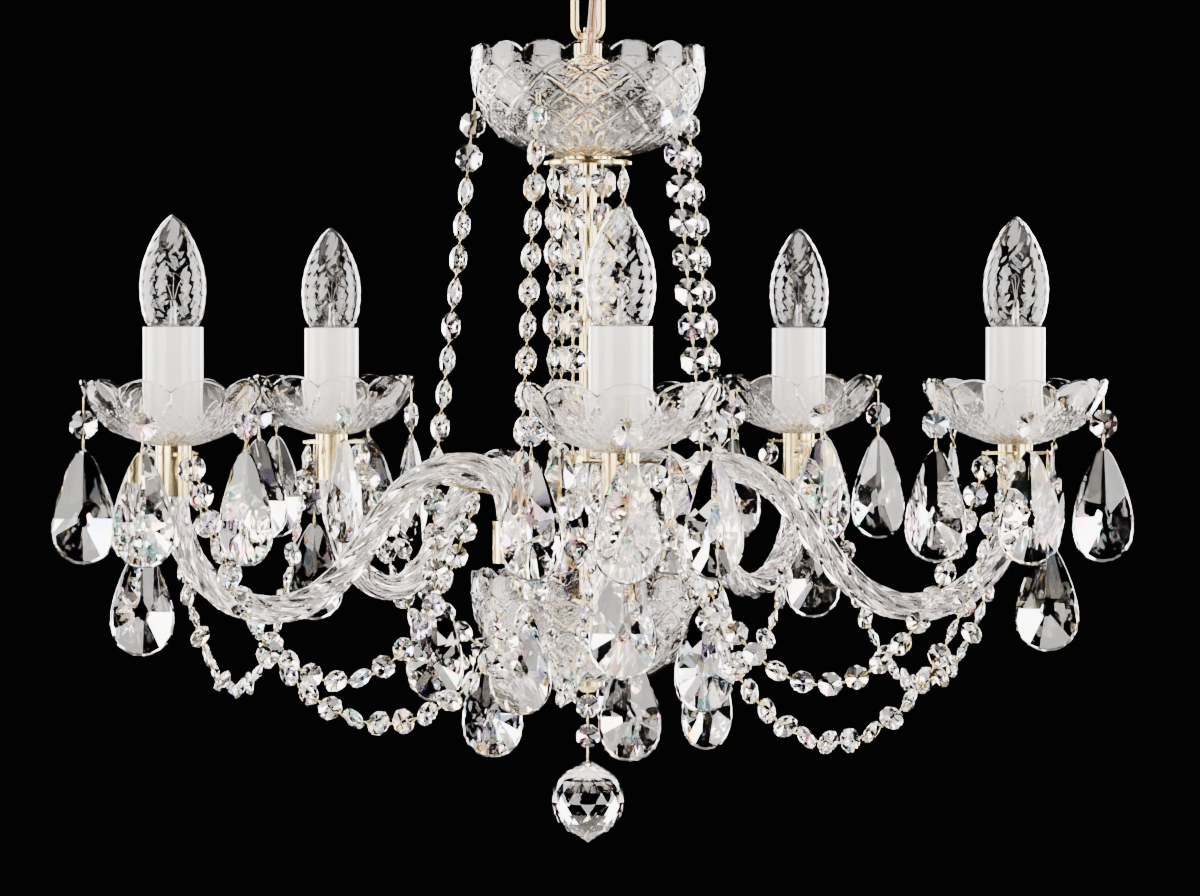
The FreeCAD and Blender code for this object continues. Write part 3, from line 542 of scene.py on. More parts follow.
def bentLink():
    # a pin bent to a figure of eight: its two loops go through the beads' holes, its wires cross
    # between them
    thin = 0.2  # the blank is a ring of radius 1 and this wire
    clearSelection()
    bpy.ops.mesh.primitive_torus_add(
        major_segments=16, minor_segments=3, major_radius=1.0, minor_radius=thin,
        rotation=(math.pi / 2, 0, 0))
    blank = named("linkBlank")
    applyPlace(blank)
    editStart(blank)
    shape = bmesh.from_edit_mesh(blank.data)
    for vertex in shape.verts:
        flat = Vector((vertex.co.x, 0, vertex.co.z))
        ring = flat.normalized()
        centre = Vector((ring.x * ring.z * linkFacts["width"],
                         ring.x * (1 - ring.z ** 2) * linkFacts["cross"],
                         ring.z * linkFacts["length"] / 2))
        off = (flat - ring) * (linkFacts["wire"] / thin)
        if ring.z < 0:
            off.x = -off.x
        vertex.co = centre + off + Vector((0, vertex.co.y * linkFacts["wire"] / thin, 0))
    bmesh.update_edit_mesh(blank.data)
    editEnd()
    faceOut(blank)
    return finished(blank, wireBrass)


beadBlank = cutBead()
pearBlank = cutPear()
linkBlank = bentLink()
print("blanks cut")

# where the frame's beads, links, pears and hooks are


def islands(node):
    # the separate solids of a CAD node, as arrays of their corners
    shape = bmesh.new()
    shape.from_mesh(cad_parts[node].data)
    bmesh.ops.remove_doubles(shape, verts=shape.verts, dist=weld)
    shape.verts.ensure_lookup_table()
    seen = [False] * len(shape.verts)
    groups = []
    for vertex in shape.verts:
        if seen[vertex.index]:
            continue
        seen[vertex.index] = True
        stack, group = [vertex], []
        while stack:
            reach = stack.pop()
            group.append(tuple(reach.co))
            for edge in reach.link_edges:
                other = edge.other_vert(reach)
                if not seen[other.index]:
                    seen[other.index] = True
                    stack.append(other)
        groups.append(np.array(group))
    shape.free()
    return groups


def axesOf(corners):
    # the middle of a solid, and its directions, longest spread first
    centre = (corners.max(0) + corners.min(0)) / 2
    return centre, np.linalg.svd(corners - corners.mean(0))[2]


def beadMatrix(corners):
    # a bead's place: its thin axis, and one flat side of its octagon
    centre = corners.mean(0)
    normal = Vector(axesOf(corners)[1][2])
    far = max(corners, key=lambda corner: np.linalg.norm(corner - centre))
    corner = Vector(far - centre)
    corner -= normal * corner.dot(normal)
    half = math.pi / beadFacts["sides"]
    side = (Matrix.Rotation(half, 3, normal) @ corner).normalized()
    size = corner.length * 2 * math.cos(half) / beadFacts["width"]
    turn = Matrix((side, normal.cross(side), normal)).transposed().to_4x4()
    return Matrix.Translation(centre) @ turn @ Matrix.Scale(size, 4)


def pearMatrix(corners):
    # a pear hangs straight down, turned about its own wire
    top, low = corners[:, 2].max(), corners[:, 2].min()
    flat = corners[:, :2] - corners[:, :2].mean(0)
    across = np.linalg.svd(flat)[2][0]
    side = Vector((across[0], across[1], 0)).normalized()
    centre = corners[corners[:, 2].argmax()]
    up = Vector((0, 0, 1))
    turn = Matrix((side, up.cross(side), up)).transposed().to_4x4()
    size = (top - low) / pearFacts["length"]
    return Matrix.Translation(centre) @ turn @ Matrix.Diagonal((1, 1, size, 1))


def linkMatrix(corners, beads, reach=linkFacts["reach"]):
    # a link runs from one bead's hole to the next, its loops lie across the beads
    centre, axes = axesOf(corners)
    along = Vector(axes[0])
    if along.z < 0:
        along = -along
    spread = (corners - centre) @ np.array(along)
    length = spread.max() - spread.min() + 2 * reach
    near = sorted(beads, key=lambda bead: (bead[0] - Vector(centre)).length)[:2]
    normal = near[0][1].copy()
    if len(near) > 1:
        normal += near[1][1] * (1 if normal.dot(near[1][1]) > 0 else -1)
    side = normal - along * normal.dot(along)
    if side.length < 0.2:  # the beads' holes point along the link
        side = along.orthogonal()
    side.normalize()
    turn = Matrix((side, along.cross(side), along)).transposed().to_4x4()
    size = Matrix.Diagonal((1, 1, length / linkFacts["length"], 1))
    return Matrix.Translation(centre) @ turn @ size


def sortIslands(node):
    # a node's solids by their kind, told by their number of corners
    found = {"bead": [], "pear": [], "link": [], "hook": [], "other": []}
    for corners in islands(node):
        if len(corners) == 6:
            kind = "link"
        elif 7 <= len(corners) <= 12:
            kind = "bead"
        elif len(corners) == 16:
            kind = "pear" if np.ptp(corners, axis=0).max() > 0.7 * pearFacts["length"] else "hook"
        else:
            kind = "other"
        found[kind].append(corners)
    return found


hookFacts = {
    "wire": 0.34 * mm, "halfWidth": 0.85 * mm, "loopDrop": 1.7 * mm, "shoulder": 2.0 * mm,
    "barDrop": 2.2 * mm,
    # shares of halfWidth from the loop in the bead, up to the bar and in to the tip
    "spread": (0.0, 0.9, 1.3, 1.2, 0.8, 0.8, 0.8),
}


def bentHook(corners):
    # a hook of doubled wire: up from the bead, in through the hole and up behind the wall
    low, high = corners[:, 2].min(), corners[:, 2].max()
    foot = Vector(corners[corners[:, 2] < low + 0.1 * mm].mean(0))
    tip = Vector(corners[corners[:, 2] > high - 0.1 * mm].mean(0))
    bar = high - hookFacts["barDrop"]
    inward = Vector((tip.x - foot.x, tip.y - foot.y, 0)).normalized()
    across = Vector((-inward.y, inward.x, 0)) * hookFacts["halfWidth"]
    loop = foot - Vector((0, 0, hookFacts["loopDrop"]))
    stations = [loop, loop, foot, Vector((foot.x, foot.y, bar - hookFacts["shoulder"])),
                Vector((foot.x, foot.y, bar)), Vector((tip.x, tip.y, bar)), tip]
    pairs = list(zip(stations, hookFacts["spread"]))
    line = [place + across * share for place, share in pairs[::-1]]
    line += [place - across * share for place, share in pairs[1:]]
    route = [tuple(value / mm for value in point) for point in line]
    curve = routeCurve("hook", route, hookFacts["wire"], 1)
    curve.data.resolution_u = 3
    return finished(asMesh(curve), wireBrass)


strandIslands = sortIslands("strand_beads")
swagIslands = sortIslands("swag_beads")
linkIslands = sortIslands("bead_links")
print("frame's beads and links found")

linkPlaces = np.array([corners.mean(0) for corners in linkIslands["link"]])
turnFacts = {
    # how far the beads of each long strand hang from facing outwards, in radians, by the strand's
    # angle; the first beads of one strand hang further round
    "longStrands": {-25: -0.42, 47: -0.65, 119: 0.28, 191: 0.3, 263: 0.75},
    "topStrand": 263, "topHeight": -0.17, "topTurn": 0.6,
    "columnRadius": 30 * mm,  # the long strands hang outside this
    "strandSway": 0.12, "columnSway": 0.35, "swagSway": 0.65, "step": 2.4,
}


def hangingMatrix(corners, number, sway, longStrands=None):
    # a bead on its wires is free to turn about them
    centre = corners.mean(0)
    nearest = np.argsort(np.linalg.norm(linkPlaces - centre, axis=1))[:2]
    along = Vector(linkPlaces[nearest[0]] - linkPlaces[nearest[1]]).normalized()
    if along.z < 0:
        along = -along
    swing = math.sin(turnFacts["step"] * number)
    turn = sway * swing
    if longStrands and math.hypot(centre[0], centre[1]) > turnFacts["columnRadius"]:
        azimuth = math.degrees(math.atan2(centre[0], -centre[1])) % 360
        strand = min(longStrands, key=lambda angle: abs((azimuth - angle + 180) % 360 - 180))
        turn = longStrands[strand] + turnFacts["strandSway"] * swing
        if strand == turnFacts["topStrand"] and centre[2] > turnFacts["topHeight"]:
            turn += turnFacts["topTurn"]
    move = Matrix.Translation(centre)
    return move @ Matrix.Rotation(turn, 4, along) @ move.inverted() @ beadMatrix(corners)


strandPlaces = [hangingMatrix(c, n, turnFacts["columnSway"], turnFacts["longStrands"])
                for n, c in enumerate(strandIslands["bead"])]
swagPlaces = [hangingMatrix(c, n, turnFacts["swagSway"])
              for n, c in enumerate(swagIslands["bead"])]
strandBeads = joined("strandBeads", [copyTo(beadBlank, place) for place in strandPlaces])
fit(strandBeads, "chandelier", "cut_crystal", "strand_beads")
swagBeads = joined("swagBeads", [copyTo(beadBlank, place) for place in swagPlaces])
fit(swagBeads, "chandelier", "cut_crystal", "swag_beads")
print("beads strung")

# each bead's middle and the way that its hole faces
hungBeads = [(place.to_translation(), (place.to_3x3() @ Vector((0, 0, 1))).normalized())
             for place in strandPlaces + swagPlaces]
wires = [copyTo(linkBlank, linkMatrix(c, hungBeads)) for c in linkIslands["link"]]
wires += [bentHook(c) for c in linkIslands["hook"]]
beadLinks = joined("beadLinks", wires)
fit(beadLinks, "chandelier", "polished_brass", "bead_links")
print("links bent")

strandPears = joined("strandPears", [copyTo(pearBlank, pearMatrix(c))
                                     for c in islands("strand_pears")])
fit(strandPears, "chandelier", "cut_crystal", "strand_pears")


def dressed(node, reach=linkFacts["reach"]):
    # a drop's octagons, pear, links and hook, each in its solid's place, and the solids left over
    found = sortIslands(node)
    holes = [(Vector(c.mean(0)), Vector(axesOf(c)[1][2])) for c in found["bead"]]
    parts = [copyTo(beadBlank, beadMatrix(c)) for c in found["bead"]]
    parts += [copyTo(pearBlank, pearMatrix(c)) for c in found["pear"]]
    parts += [copyTo(linkBlank, linkMatrix(c, holes, reach)) for c in found["link"]]
    parts += [bentHook(c) for c in found["hook"]]
    return parts, found["other"]


drops = [("bowl_drops", "bowlDrops", "chandelier")]
for arm in range(1, 6):
    drops.append((f"arm_drop_{arm}", f"armDrop{arm}", f"arm_drop_{arm}"))
    for place in range(1, 6):
        node = f"pan_drop_{arm}_{place}"
        drops.append((node, f"panDrop{arm}_{place}", node))
for node, name, body in drops:
    fit(joined(name, dressed(node)[0]), body, "cut_crystal", node)
print("drops hung")

# faceted ball

ballFacts = {
    "radius": 19.5 * mm, "sides": 16, "rows": 10,
    "neck": 2.6 * mm, "point": 2.6 * mm,  # how far its top and its foot are drawn out
}


def cutBall(centre):
    # a crystal ball: rows of facets, each turned half a facet from the last
    clearSelection()
    bpy.ops.mesh.primitive_uv_sphere_add(
        segments=ballFacts["sides"], ring_count=ballFacts["rows"], radius=ballFacts["radius"])
    ball = named("ballBlank")
    editStart(ball)
    for row in range(1, ballFacts["rows"], 2):
        height = ballFacts["radius"] * math.cos(math.pi * row / ballFacts["rows"])
        shape = bmesh.from_edit_mesh(ball.data)
        for vertex in shape.verts:
            vertex.select = abs(vertex.co.z - height) < 0.2 * mm
        bmesh.update_edit_mesh(ball.data)
        bpy.ops.transform.rotate(value=math.pi / ballFacts["sides"], orient_axis="Z",
                                 center_override=(0, 0, 0))
    bpy.ops.mesh.select_all(action="SELECT")
    bpy.ops.mesh.quads_convert_to_tris(quad_method="SHORTEST_DIAGONAL")
    shape = bmesh.from_edit_mesh(ball.data)
    min(shape.verts, key=lambda vertex: vertex.co.z).co.z -= ballFacts["point"]
    max(shape.verts, key=lambda vertex: vertex.co.z).co.z += ballFacts["neck"]
    bmesh.update_edit_mesh(ball.data)
    editEnd()
    ball.data.transform(Matrix.Translation(centre))
    return finished(ball, crystal, 0)


ballWires, (ballSolid,) = dressed("ball_drop", linkFacts["ballReach"])
ballCentre = Vector((ballSolid.max(0) + ballSolid.min(0)) / 2)
ballCentre.z = ballSolid[:, 2].max() - ballFacts["radius"]
ballDrop = joined("ballDrop", [cutBall(ballCentre)] + ballWires)
fit(ballDrop, "ball", "cut_crystal", "ball_drop")
print("ball cut")

# cut glass bowls and pans


def turnedShape(name, outline, sides, filled=True, closed=False):
    # a ring extruded along a turned outline of radius and height in mm; a closed one goes back to
    # its first ring
    clearSelection()
    bpy.ops.mesh.primitive_circle_add(
        vertices=sides, radius=outline[0][0] * mm, fill_type="NGON" if filled else "NOTHING",
        location=(0, 0, outline[0][1] * mm))
    piece = named(name)
    applyPlace(piece)
    editStart(piece)
    bpy.ops.mesh.select_all(action="SELECT")
    for (radius, height), (nextRadius, nextHeight) in zip(outline, outline[1:] + outline[:closed]):
        bpy.ops.mesh.extrude_region_move(
            TRANSFORM_OT_translate={"value": (0, 0, (nextHeight - height) * mm)})
        scale = nextRadius / radius
        bpy.ops.transform.resize(value=(scale, scale, 1), center_override=(0, 0, nextHeight * mm))
    editEnd()
    return piece


def reshape(piece, move):
    # every corner is moved by hand: move gets its number and place in mm, and gives the new place
    editStart(piece)
    shape = bmesh.from_edit_mesh(piece.data)
    for vertex in shape.verts:
        vertex.co = move(vertex.index, vertex.co / mm) * mm
    bmesh.update_edit_mesh(piece.data)
    editEnd()


bowlFacts = {
    "rim": 62.4, "height": 59.0, "wall": 4.0, "foot": 13.5, "bore": 4.6,
    "belly": [(29.4, 3.0), (14.1, 11.6), (3.9, 28.0), (0.0, 43.0)],
    "scallops": 16, "scallopDepth": 5.0, "columns": 384,
    # the cut diamonds: their height, how many to a scallop, the way from cut to cut, and how far
    # below the rim they begin and end
    "diamond": 17.4, "perScallop": 1, "cutGap": 14.2, "cutTop": 8.7, "cutFoot": 47.9,
    "cutWidth": 1.35, "cutDepth": 0.9,
    # the star in each diamond, and the flutes under them
    "starWide": 12.25, "starTall": 8.7, "starReach": 5.2, "starLean": 1.4, "starThin": 0.6,
    "starWidth": 0.9, "starDepth": 0.45, "starFade": 2, "flutes": 16, "fluteDepth": 0.6,
    "fluteFade": 3, "bases": {"topBowl": 96.0, "bottomBowl": -184.0},
}
panFacts = {
    "rim": 48.2, "height": 33.7, "wall": 2.6, "foot": 12.7, "bore": 5.2,
    "belly": [(21.3, 5.2), (13.2, 9.7), (7.0, 17.7), (2.5, 26.7)],
    "scallops": 10, "scallopDepth": 6.0, "columns": 320,
    "diamond": 6.2, "perScallop": 4, "cutGap": 5.0, "cutTop": 16.5, "cutFoot": 27.0,
    "cutWidth": 1.1, "cutDepth": 0.55, "cutFade": 1.5,
    # the hollow under each scallop, and the two leaves from each valley
    "lobe": 30, "ovalWide": 13, "ovalTall": 9.5, "ovalDrop": 10.0, "ovalDepth": 0.7,
    "leafTop": 7.0, "leafLength": 13, "leafLean": 0.42, "leafThin": 0.3, "leafSwell": 1.3,
    "leafDepth": 0.8,
    "base": -55.7, "turns": (0.0, 0.0, 10.0, 8.0, -18.0),
}
dishFacts = {
    # how finely the wall is turned, its rounded lip, the uncut rows at the rim and the crease angle
    "curveSteps": 24, "bottomStep": 1.1, "bottomGap": 0.3, "innerStep": 5, "lipInset": 0.9,
    "lipRise": 0.15, "rimRows": 3, "crease": 24,
}


def groove(distance, halfWidth, depth):
    # a V cut by a wheel: full depth on its line, nothing at its edge
    return depth * max(0.0, 1 - abs(distance) / halfWidth)


def wrapped(value):
    return (value + 0.5) % 1.0 - 0.5


def bowlCuts(angle, drop):
    # mitre cuts that cross as diamonds, each with a small star, over a fan of flutes to the foot
    facts = bowlFacts
    cells = angle / (2 * math.pi) * facts["scallops"]
    rows = (drop - facts["diamond"]) / facts["diamond"]
    depth = 0.0
    if facts["cutTop"] < drop < facts["cutFoot"]:
        for slope in (cells + rows, cells - rows):
            gap = wrapped(slope) * facts["cutGap"]
            depth = max(depth, groove(gap, facts["cutWidth"], facts["cutDepth"]))
        p, q = wrapped(cells + rows - 0.5), wrapped(cells - rows - 0.5)
        x, y = abs(p + q) * facts["starWide"], abs(p - q) * facts["starTall"]
        inside = facts["starReach"] - math.hypot(x, y)
        if inside > 0:
            spoke = min(x, y, abs(x - facts["starLean"] * y) * facts["starThin"])
            star = groove(spoke, facts["starWidth"], facts["starDepth"])
            depth = max(depth, star * min(1.0, inside / facts["starFade"]))
    under = drop - facts["cutFoot"] + facts["fluteFade"]
    if under > 0:
        flute = abs(math.sin(angle * facts["flutes"]))
        fade = min(1.0, under / facts["fluteFade"])
        depth = max(depth, facts["fluteDepth"] * (1 - flute) * fade)
    return depth


def panCuts(angle, drop):
    # a smooth oval hollow under each scallop, two leaf cuts from each valley, and small diamonds
    # down to the foot
    facts = panFacts
    cells = angle / (2 * math.pi) * facts["scallops"]
    oval = ((wrapped(cells) * facts["lobe"] / facts["ovalWide"]) ** 2
            + ((drop - facts["ovalDrop"]) / facts["ovalTall"]) ** 2)
    depth = max(0.0, facts["ovalDepth"] * (1 - oval))
    down = drop - facts["leafTop"]
    if 0 < down < facts["leafLength"]:
        leaf = abs(wrapped(cells - 0.5)) * facts["lobe"] - facts["leafLean"] * down
        swell = facts["leafSwell"] * math.sin(math.pi * down / facts["leafLength"])
        depth = max(depth, groove(leaf, facts["leafThin"] + swell, facts["leafDepth"]))
    if drop > facts["cutTop"]:
        small = cells * facts["perScallop"]
        rows = drop / facts["diamond"]
        fade = min(1.0, (drop - facts["cutTop"]) / facts["cutFade"])
        for slope in (small + rows, small - rows):
            gap = wrapped(slope) * facts["cutGap"]
            depth = max(depth, groove(gap, facts["cutWidth"], facts["cutDepth"]) * fade)
    return depth


def skinOf(facts):
    # the outer skin from foot to rim: rows of radius, height and outward direction
    corners = [(facts["foot"], 0.0)]
    corners += [(facts["rim"] - inset, rise) for inset, rise in facts["belly"]]
    corners.append((facts["rim"], facts["height"]))
    padded = [corners[0]] + corners + [corners[-1]]
    dense = []
    for a, b, c, d in zip(*(np.array(padded[shift:]) for shift in range(4))):
        # a smooth curve through b and c
        for t in np.arange(dishFacts["curveSteps"]) / dishFacts["curveSteps"]:
            dense.append(0.5 * (2 * b + (c - a) * t + (2 * a - 5 * b + 4 * c - d) * t * t
                                + (3 * b - a - 3 * c + d) * t ** 3))
    dense = np.array(dense + [corners[-1]])
    # even steps of drop down the side, where the cuts cross, then even steps along the bottom
    step = facts["diamond"] * facts["scallops"] * facts["perScallop"] / facts["columns"]
    heights = np.arange(facts["height"], facts["height"] - facts["cutFoot"], -step)
    radii = np.interp(heights, dense[:, 1], dense[:, 0])
    under = dense[dense[:, 1] < heights[-1] - dishFacts["bottomGap"]]
    along = np.concatenate([[0], np.cumsum(np.hypot(*np.diff(under, axis=0).T))])
    places = np.linspace(0, along[-1], max(3, int(along[-1] / dishFacts["bottomStep"])))
    radius = np.concatenate([np.interp(places, along, under[:, 0]), radii[::-1]])
    height = np.concatenate([np.interp(places, along, under[:, 1]), heights[::-1]])
    run, rise = np.gradient(radius), np.gradient(height)
    size = np.hypot(run, rise)
    return radius, height, rise / size, -run / size


def rimDrop(facts, angle):
    # how far the scalloped rim lies below its peaks
    half = facts["rim"] * math.sin(math.pi / facts["scallops"])
    lobe = (half ** 2 + facts["scallopDepth"] ** 2) / (2 * facts["scallopDepth"])
    off = wrapped(angle / (2 * math.pi) * facts["scallops"]) * 2 * math.pi / facts["scallops"]
    return lobe - math.sqrt(max(0.0, lobe ** 2 - (facts["rim"] * math.sin(off)) ** 2))


def cutDish(name, facts, cuts):
    # the wall is turned first, then the rim is nipped into scallops and the wheel sinks its cuts
    # into the outer skin; the inner skin stays smooth
    radius, height, outR, outZ = skinOf(facts)
    wall, inset, rise = facts["wall"], dishFacts["lipInset"], dishFacts["lipRise"]
    outline = [list(pair) for pair in zip(radius, height)]
    outline[-1] = [radius[-1] - inset, height[-1] + rise]
    outline.append([facts["rim"] - wall + inset, facts["height"] + rise])
    top = len(radius) - 1
    for row in list(range(top - 1, 0, -dishFacts["innerStep"])) + [0]:
        outline.append([radius[row] - outR[row] * wall, max(height[row] - outZ[row] * wall, wall)])
    outline += [[facts["bore"], wall], [facts["bore"], 0.0]]
    dish = turnedShape(name, outline, facts["columns"], filled=False, closed=True)
    faceOut(dish, 15 * weld)

    def sink(number, place):
        angle = math.atan2(place.x, -place.y)
        share = min(1.0, max(0.0, place.z) / facts["height"]) ** 2
        fall = rimDrop(facts, angle) * share
        row = number // facts["columns"]
        if row < len(radius):
            edge = min(1.0, (top - row) / dishFacts["rimRows"])
            sunk = cuts(angle, facts["height"] - height[row]) * edge
            outward = Vector((math.sin(angle) * outR[row], -math.cos(angle) * outR[row], outZ[row]))
            place = place - outward * sunk
        return Vector((place.x, place.y, place.z - fall))

    reshape(dish, sink)
    faceOut(dish)
    return finished(dish, glass, dishFacts["crease"])


bowlBlank = cutDish("bowlBlank", bowlFacts, bowlCuts)
for name, node in (("topBowl", "top_bowl"), ("bottomBowl", "bottom_bowl")):
    lift = Matrix.Translation((0, 0, level(bowlFacts["bases"][name])))
    bowl = copyTo(bowlBlank, lift)
    bowl.name = name
    fit(bowl, "chandelier", "clear_glass", node)
panBlank = cutDish("panBlank", panFacts, panCuts)
for number, (armAngle, turn) in enumerate(zip(armAngles, panFacts["turns"])):
    place = Matrix.Translation(around(candleReach, panFacts["base"], armAngle))
    pan = copyTo(panBlank, place @ Matrix.Rotation(math.radians(armAngle + turn), 4, "Z"))
    pan.name = f"dripPan{number + 1}"
    fit(pan, "chandelier", "clear_glass", "drip_pans")
discard(bowlBlank, panBlank)
print("bowls and pans cut")

# twisted glass arms with their wires

armFacts = {
    "radius": 7.5, "lobes": 6, "perLobe": 6, "lobeDepth": 1.4, "twistPitch": 130.0, "wall": 3.7,
    "root": 44.0, "wire": 1.3,
    # share of the way from root to candle, and height
    "bends": [(0.0, -117.0), (0.0, -107.0), (0.0, -98.0), (0.003, -89.5), (0.018, -81.0),
              (0.058, -72.5), (0.129, -67.5), (0.215, -69.5), (0.296, -76.5), (0.371, -90.0),
              (0.435, -108.0), (0.516, -127.0), (0.613, -139.5), (0.720, -143.0), (0.823, -138.5),
              (0.909, -126.5), (0.962, -112.0), (0.990, -97.0), (1.0, -84.0), (1.0, -74.0),
              (1.0, -64.0)],
}


def armLine(name, radius=0.0):
    # the middle line of the arm that points to the front
    route = []
    for share, height in armFacts["bends"]:
        reach = armFacts["root"] + (candleReach - armFacts["root"]) * share
        route.append((0.0, -reach, level(height) / mm))
    line = routeCurve(name, route, radius, 2)
    line.data.resolution_u = 5
    return line


def twistedArm():
    # drawn glass rod: six ridges wound round it while hot, then bent, with a bore for its wires
    profile = bpy.data.curves.new("armSection", "CURVE")
    profile.dimensions = "2D"
    count = armFacts["lobes"] * armFacts["perLobe"]
    spline = profile.splines.new("POLY")
    spline.points.add(count - 1)
    spline.use_cyclic_u = True
    for number, point in enumerate(spline.points):
        turn = 2 * math.pi * number / count
        ridge = abs(math.cos(armFacts["lobes"] / 2 * turn))
        reach = (armFacts["radius"] - armFacts["lobeDepth"] * (1 - ridge)) * mm
        point.co = (reach * math.cos(turn), reach * math.sin(turn), 0, 1)
    section = placed(bpy.data.objects.new("armSection", profile))
    arm = armLine("armBlank")
    arm.data.bevel_mode = "OBJECT"
    arm.data.bevel_object = section
    arm.data.twist_mode = "Z_UP"
    length = 0.0
    points = arm.data.splines[0].points
    for before, point in zip([points[0]] + list(points), points):
        length += (point.co.to_3d() - before.co.to_3d()).length / mm
        point.tilt = 2 * math.pi * length / armFacts["twistPitch"]
    arm = asMesh(arm)
    discard(section)
    faceOut(arm)
    useModifier(arm, "SOLIDIFY", thickness=armFacts["wall"] * mm, offset=-1)
    return finished(arm, glass, 40)


armBlank = twistedArm()
wireBlank = finished(asMesh(armLine("wireBlank", armFacts["wire"] * mm)), silicone)
turns = [Matrix.Rotation(math.radians(angle), 4, "Z") for angle in armAngles]
glassArms = joined("glassArms", [copyTo(armBlank, turn) for turn in turns])
fit(glassArms, "chandelier", "clear_glass", "glass_arms")
armWires = joined("armWires", [copyTo(wireBlank, turn) for turn in turns])
fit(armWires, "chandelier", "wire_insulation", "arm_wires")
discard(armBlank, wireBlank)
print("arms drawn and bent")

# candle lamps

lampFacts = {
    "profile": [(7.4, 2.0), (9.8, 3.2), (13.2, 5.4), (15.4, 10.5), (17.0, 19.0), (17.3, 27.0),
                (16.4, 35.0), (14.0, 43.0), (10.7, 50.5), (6.8, 57.0), (3.2, 61.4), (0.8, 62.8)],
    "easing": 6, "tip": 0.15, "wall": 0.6, "columns": 112, "rows": 54,
    # the ribs: how far they lean for each mm of height, and how much of them the inside shows
    "ribs": 14, "ribDepth": 0.34, "ribMean": 0.75, "ribStart": 9, "lean": 0.068, "inside": 0.85,
    # the screw cap below the sleeve's top: its contact, thread and skirt
    "capTop": 2.0, "capLength": 25.0, "contact": [(1.6, 0.0), (2.6, 0.4), (3.4, 2.4), (5.6, 4.0)],
    "threadStart": 5.2, "threadEnd": 7.5, "threadPitch": 2.8,
    "thread": [(6.1, 0.0), (6.75, 1.0), (6.1, 2.0)],
    "skirt": [(6.6, -5.0), (6.85, -1.5), (6.85, 0.0)],
    # what is inside: a stem, two leads, a support and the filament
    "stem": [(2.6, 2.0), (1.7, 8.0), (1.3, 17.0), (1.7, 18.6), (0.5, 19.6)],
    "lead": [(0.7, 2.0), (0.7, 12.0), (1.1, 20.0), (3.2, 25.0), (6.6, 30.0)], "leadWire": 0.2,
    "support": [(0, 0, 19.0), (0, 0, 27.0), (0, 0.4, 33.0)], "supportWire": 0.14,
    "coilSpan": 6.6, "coilHeight": 30.0, "coilRise": 3.0, "coilRadius": 0.25, "coilTurns": 15,
    "coilPoints": 90, "coilWire": 0.05, "filamentTurn": 25,
}


def bulbOutline(inset):
    profile = np.array(lampFacts["profile"])
    lengths = np.concatenate([[0], np.cumsum(np.hypot(*np.diff(profile, axis=0).T))])
    stations = np.linspace(0, lengths[-1], lampFacts["rows"])
    radius = np.interp(stations, lengths, profile[:, 0])
    height = np.interp(stations, lengths, profile[:, 1])
    for _ in range(lampFacts["easing"]):  # ease the corners of the profile
        radius[1:-1] = (radius[:-2] + 2 * radius[1:-1] + radius[2:]) / 4
        height[1:-1] = (height[:-2] + 2 * height[1:-1] + height[2:]) / 4
    run, rise = np.gradient(radius), np.gradient(height)
    size = np.hypot(run, rise)
    return [[max(lampFacts["tip"], r - inset * b / s), h + inset * a / s]
            for r, h, a, b, s in zip(radius, height, run, rise, size)]


def twistedBulb():
    # glass blown into a twisted mould: round ribs outside, softer ones inside
    walls = []
    for inset, share in ((0.0, 1.0), (lampFacts["wall"], lampFacts["inside"])):
        wall = turnedShape("bulbWall", bulbOutline(inset), lampFacts["columns"])

        def rib(number, place):
            reach = math.hypot(place.x, place.y)
            turn = math.atan2(place.x, -place.y) - lampFacts["lean"] * place.z
            swell = abs(math.sin(lampFacts["ribs"] * turn / 2)) - lampFacts["ribMean"]
            swell *= lampFacts["ribDepth"] * share * min(1.0, reach / lampFacts["ribStart"])
            scale = 1 + swell / max(reach, 0.1)
            return Vector((place.x * scale, place.y * scale, place.z))

        reshape(wall, rib)
        faceOut(wall)
        if inset:
            editStart(wall)
            bpy.ops.mesh.select_all(action="SELECT")
            bpy.ops.mesh.flip_normals()
            editEnd()
        walls.append(wall)
    return finished(joined("bulbBlank", walls), bulbGlass, 40)


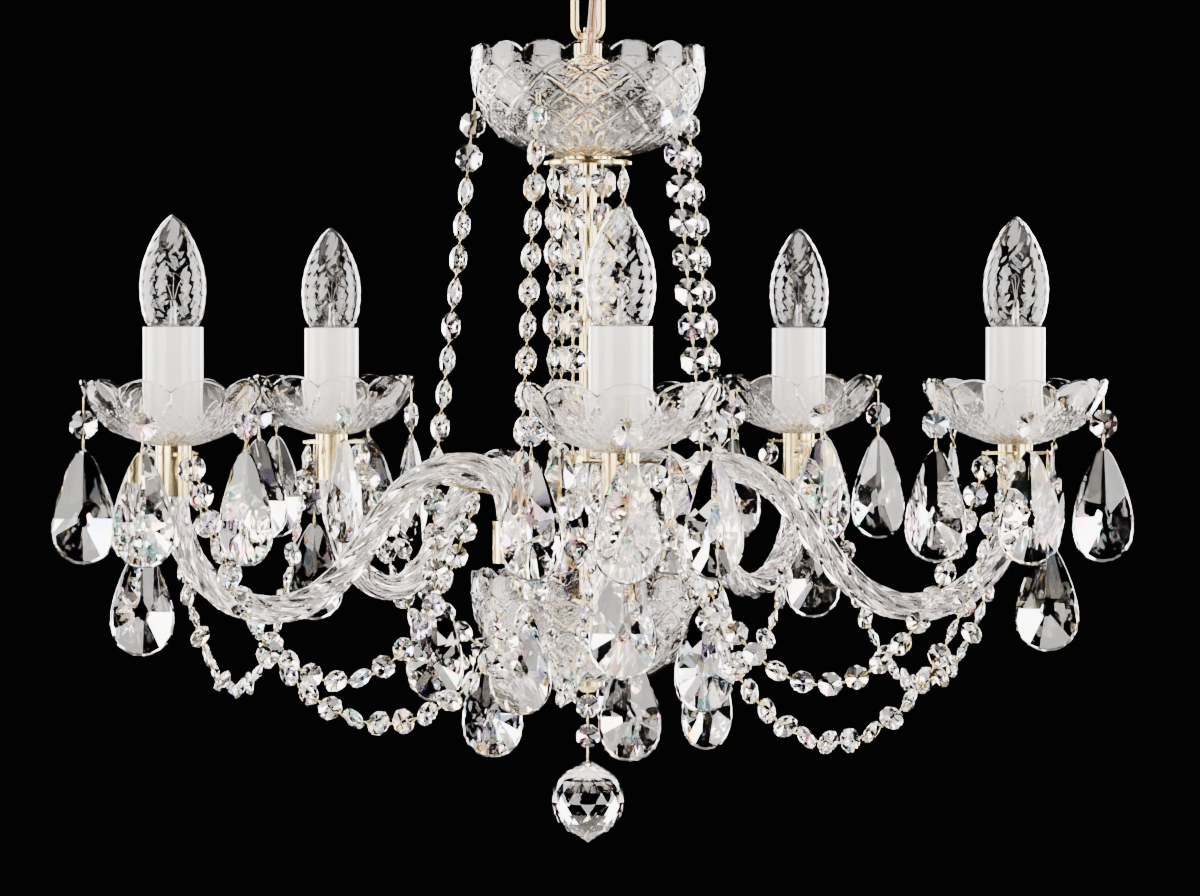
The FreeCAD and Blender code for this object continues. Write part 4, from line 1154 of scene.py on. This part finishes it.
def threadedCap():
    top, bottom = lampFacts["capTop"], lampFacts["capTop"] - lampFacts["capLength"]
    outline = [(radius, bottom + rise) for radius, rise in lampFacts["contact"]]
    height = bottom + lampFacts["threadStart"]
    while height < top - lampFacts["threadEnd"]:
        outline += [(radius, height + rise) for radius, rise in lampFacts["thread"]]
        height += lampFacts["threadPitch"]
    outline += [(radius, top + rise) for radius, rise in lampFacts["skirt"]]
    cap = turnedShape("capBlank", outline, 32)
    faceOut(cap)
    return finished(cap, nickel, 35)


def lampInside():
    # a pressed glass stem, two leads, and a coiled filament between them on a fine support
    stem = turnedShape("stemBlank", lampFacts["stem"], 16)
    faceOut(stem)
    finished(stem, bulbGlass, 35)
    wires = []
    for side in (-1, 1):
        route = [(side * reach, 0, height) for reach, height in lampFacts["lead"]]
        wires.append(asMesh(routeCurve("lead", route, lampFacts["leadWire"] * mm, 1)))
    wires.append(asMesh(routeCurve("support", lampFacts["support"],
                                   lampFacts["supportWire"] * mm, 1)))
    coil = []
    for number in range(lampFacts["coilPoints"]):
        share = number / (lampFacts["coilPoints"] - 1)
        turn = 2 * math.pi * lampFacts["coilTurns"] * share
        middle = lampFacts["coilHeight"] + lampFacts["coilRise"] * math.sin(math.pi * share)
        coil.append(((2 * share - 1) * lampFacts["coilSpan"],
                     lampFacts["coilRadius"] * math.cos(turn),
                     middle + lampFacts["coilRadius"] * math.sin(turn)))
    wires.append(asMesh(routeCurve("filament", coil, lampFacts["coilWire"] * mm, 0)))
    return stem, finished(joined("leads", wires), tungsten, 50)


bulb, cap = twistedBulb(), threadedCap()
stem, leads = lampInside()
for number, angle in enumerate(armAngles):
    turn = Matrix.Rotation(math.radians(angle + lampFacts["filamentTurn"]), 4, "Z")
    place = Matrix.Translation(around(candleReach, 0, angle)) @ turn
    parts = [copyTo(piece, place) for piece in (bulb, cap, stem, leads)]
    fit(joined(f"candleLamp{number + 1}", parts), f"lamp_{number + 1}", "lamp_glass",
        f"lamp_{number + 1}")
discard(bulb, cap, stem, leads)
print("lamps made")

# the metal, plastic and plated CAD pieces that stay

finishes = {
    "ceiling_plate": steel, "candle_sleeves": whiteSatin, "lampholders": thermoset,
    **dict.fromkeys(["ceiling_hook", "canopy_cup", "chain_link", "suspension_loop", "bowl_cap",
                     "stem_tube", "strand_disc", "arm_hub", "bottom_nut", "arm_collars"], brass),
}
for node, material in finishes.items():
    coat(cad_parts[node], material)
discard(beadBlank, pearBlank, linkBlank)
print("finishes given")
